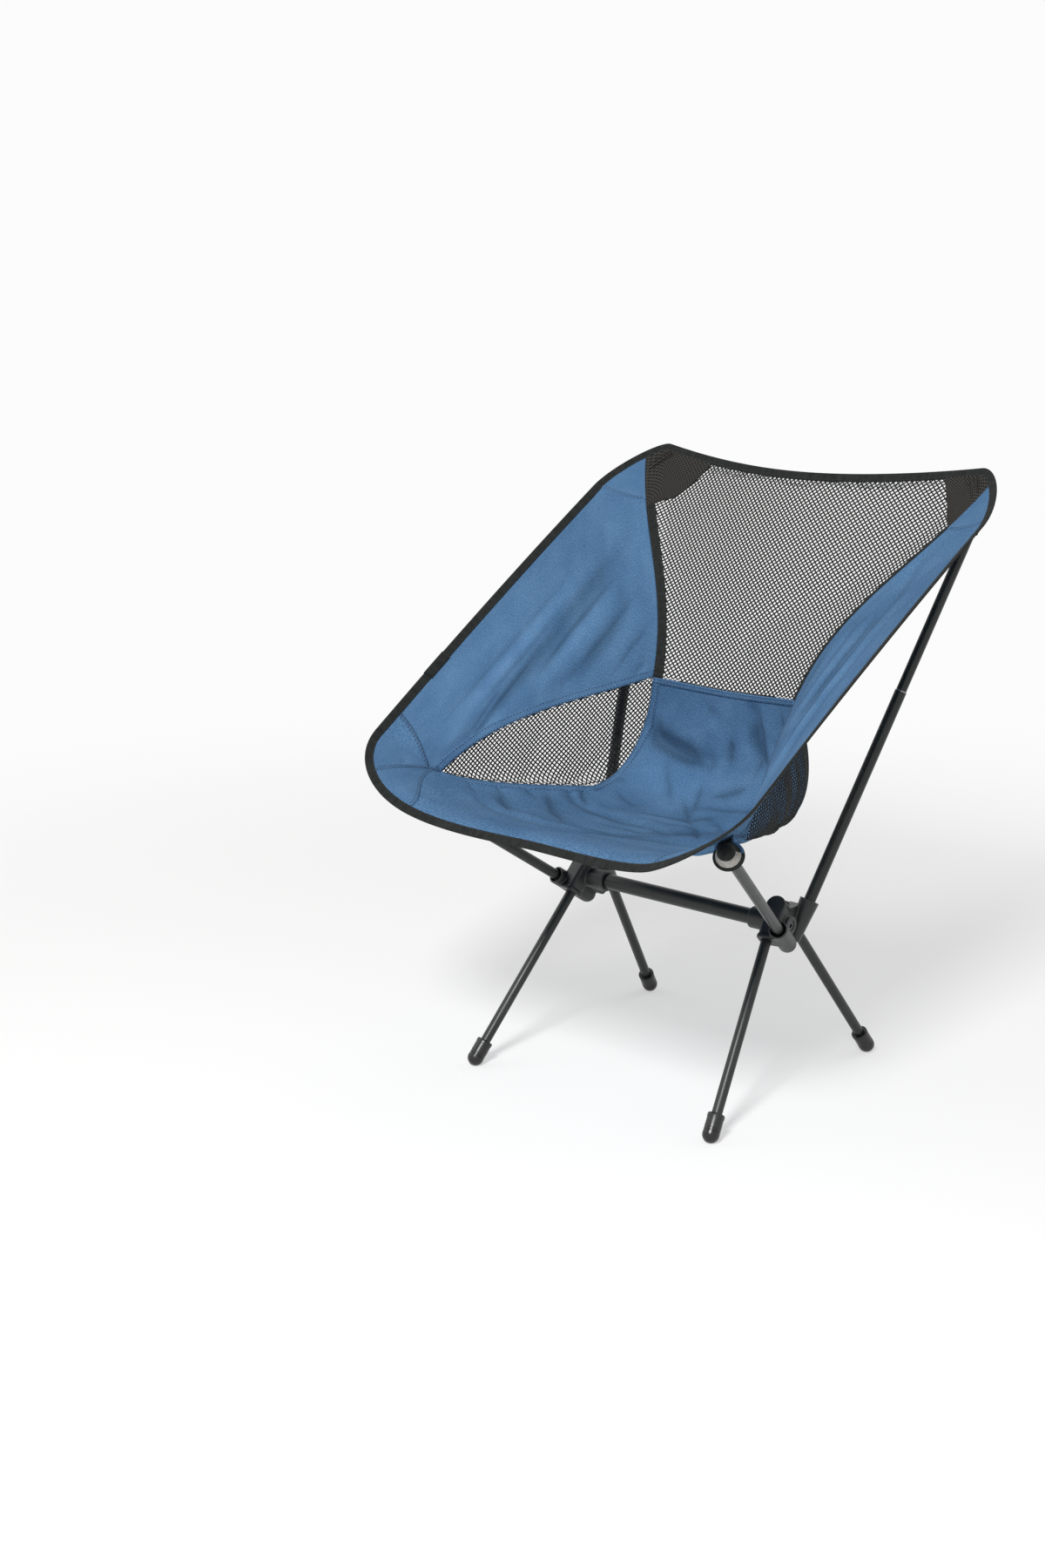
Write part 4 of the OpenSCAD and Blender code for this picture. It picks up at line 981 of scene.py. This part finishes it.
for name, (end, way, rings, (low, high)) in pockets.items():
    for side, sign in sides.items():
        bm = ringTube(rings, capEnd=True)
        uvLayer = bm.loops.layers.uv.new("weave")
        for face in bm.faces:
            middle = face.calc_center_median()
            # grey on the skirt's underside: a painted reflection of the pale floor
            under = middle.y > pocket["under"] * middle.xy.length
            if under and low < middle.z < high:
                face.material_index = 1
            elif middle.z < low and not under:
                face.material_index = 2
            for loop in face.loops:
                x, y, z = loop.vert.co
                loop[uvLayer].uv = (math.atan2(y, x) * pocket["uvAround"], z * mm)
        if name == "armPocket":
            sewUp(bm, rings[0][1])
        standOn(bm, at[end], way, sign)
        piece = finishPiece(bm, name + "." + side, [tape, floorReflectionGrey, blueCloth], "black_webbing",
                            thick=pocket["wall"], offset=-1)
        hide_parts(name[:-len("Pocket")] + "_pocket_" + side)
        onCloth[side].append(piece)
print("pockets made")


# rubber feet: a bullet with a square-cut rim and two shallow grooves above the ball

foot = {
    "radius": 9.2, "centreHeight": 8.4, "ballFrom": -86, "ballSteps": 9, "sharpEdge": 35,
    "front": ((132, -13.4, 192), (164, -168, 0)), "rear": ((124.5, 29.2, 192), (157, 166, 0)),
    "sleeve": [(2.2, 9.2), (2.6, 8.75), (3.4, 8.75), (3.8, 9.2), (5.2, 9.2), (5.6, 8.8), (6.3, 8.8),
               (6.7, 9.15), (17.6, 9.0), (18.0, 9.35), (21.4, 9.4), (22.0, 9.0), (22.1, 7.0), (21.9, 5.72),
               (18, 5.72)],
}
for end in ("front", "rear"):
    top, low = (Vector(p) for p in foot[end])
    way = (top - low).normalized()
    centre = low + way * foot["centreHeight"] / way.z
    steps = foot["ballSteps"]
    ball = [math.radians(foot["ballFrom"] * (1 - i / steps)) for i in range(steps + 1)]
    rings = [(foot["radius"] * math.sin(a), foot["radius"] * math.cos(a)) for a in ball] + foot["sleeve"]
    for side, sign in sides.items():
        bm = ringTube([(far, r, r) for far, r in rings], capStart=True)
        standOn(bm, centre, way, sign)
        for vert in bm.verts:
            vert.co.z = max(vert.co.z, 0)  # worn flat on the floor
        for edge in bm.edges:
            edge.smooth = edge.calc_face_angle(0) < math.radians(foot["sharpEdge"])
        piece = finishPiece(bm, end + "Foot." + side, [footRubber], "foot_rubber",
                            end + "_leg_" + side + "_body")
        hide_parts(end + "_foot_" + side)
print("feet made")


# turned ring where the thin back pole leaves the thick one

poleJoint = {"height": 431, "rings": [(-0.9, 6.5), (-0.8, 6.6), (-0.2, 6.6), (0.25, 6.25), (0.3, 5.8)]}
joint = at["fork"] + backWay * (poleJoint["height"] - at["fork"].z) / backWay.z
for side, sign in sides.items():
    bm = ringTube([(far, r, r) for far, r in poleJoint["rings"]])
    standOn(bm, joint, backWay, sign)
    finishPiece(bm, "poleRing." + side, [bareMetal], "painted_pole")
print("pole rings made")


# moulded hubs: the CAD hub with its edges rounded as a mould leaves them

hub = {"grain": 0.7, "weld": 0.01, "soften": 0.5, "rounds": 7}
for side in sides:
    bm = bmesh.new()
    bm.from_mesh(nodes["hub_" + side].data)
    bmesh.ops.remove_doubles(bm, verts=bm.verts[:], dist=hub["weld"] * mm)
    piece = finishPiece(bm, "mouldedHub." + side, [hubNylon], "hub_nylon")
    remesh = piece.modifiers.new("evenMesh", "REMESH")
    remesh.mode, remesh.voxel_size, remesh.use_smooth_shade = "VOXEL", hub["grain"] * mm, True
    soften = piece.modifiers.new("roundEdges", "SMOOTH")
    soften.factor, soften.iterations = hub["soften"], hub["rounds"]
    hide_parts("hub_" + side)
print("hubs made")


for name, material, slot in (("navyStitches", navyThread, "blue_cloth"),
                             ("blackStitches", blackThread, "black_webbing")):
    onCloth["seat"].append(finishPiece(sewn[name], name, [material], slot))
print("stitches made")


print("no sheet sizes listed")


# CAD nodes that stay get their finish

finishes = {
    "crossbar_tube": poleCoat, "crossbar_plug": hubNylon, "crossbar_screw": screwSteel,
    "front_leg_cord": cordSkin, "rear_leg_cord": cordSkin, "arm_cord": cordSkin, "back_cord": cordSkin,
    "front_leg": poleCoat, "rear_leg": poleCoat, "arm_pole": poleCoat, "back_pole": poleCoat,
    "arm_tip": tipNylon, "back_tip": tipNylon,
}
for name, node in nodes.items():
    stem = max((s for s in finishes if name.startswith(s)), key=len, default=None)
    if stem:
        for place in node.material_slots:
            place.material = finishes[stem]
print("CAD nodes finished")
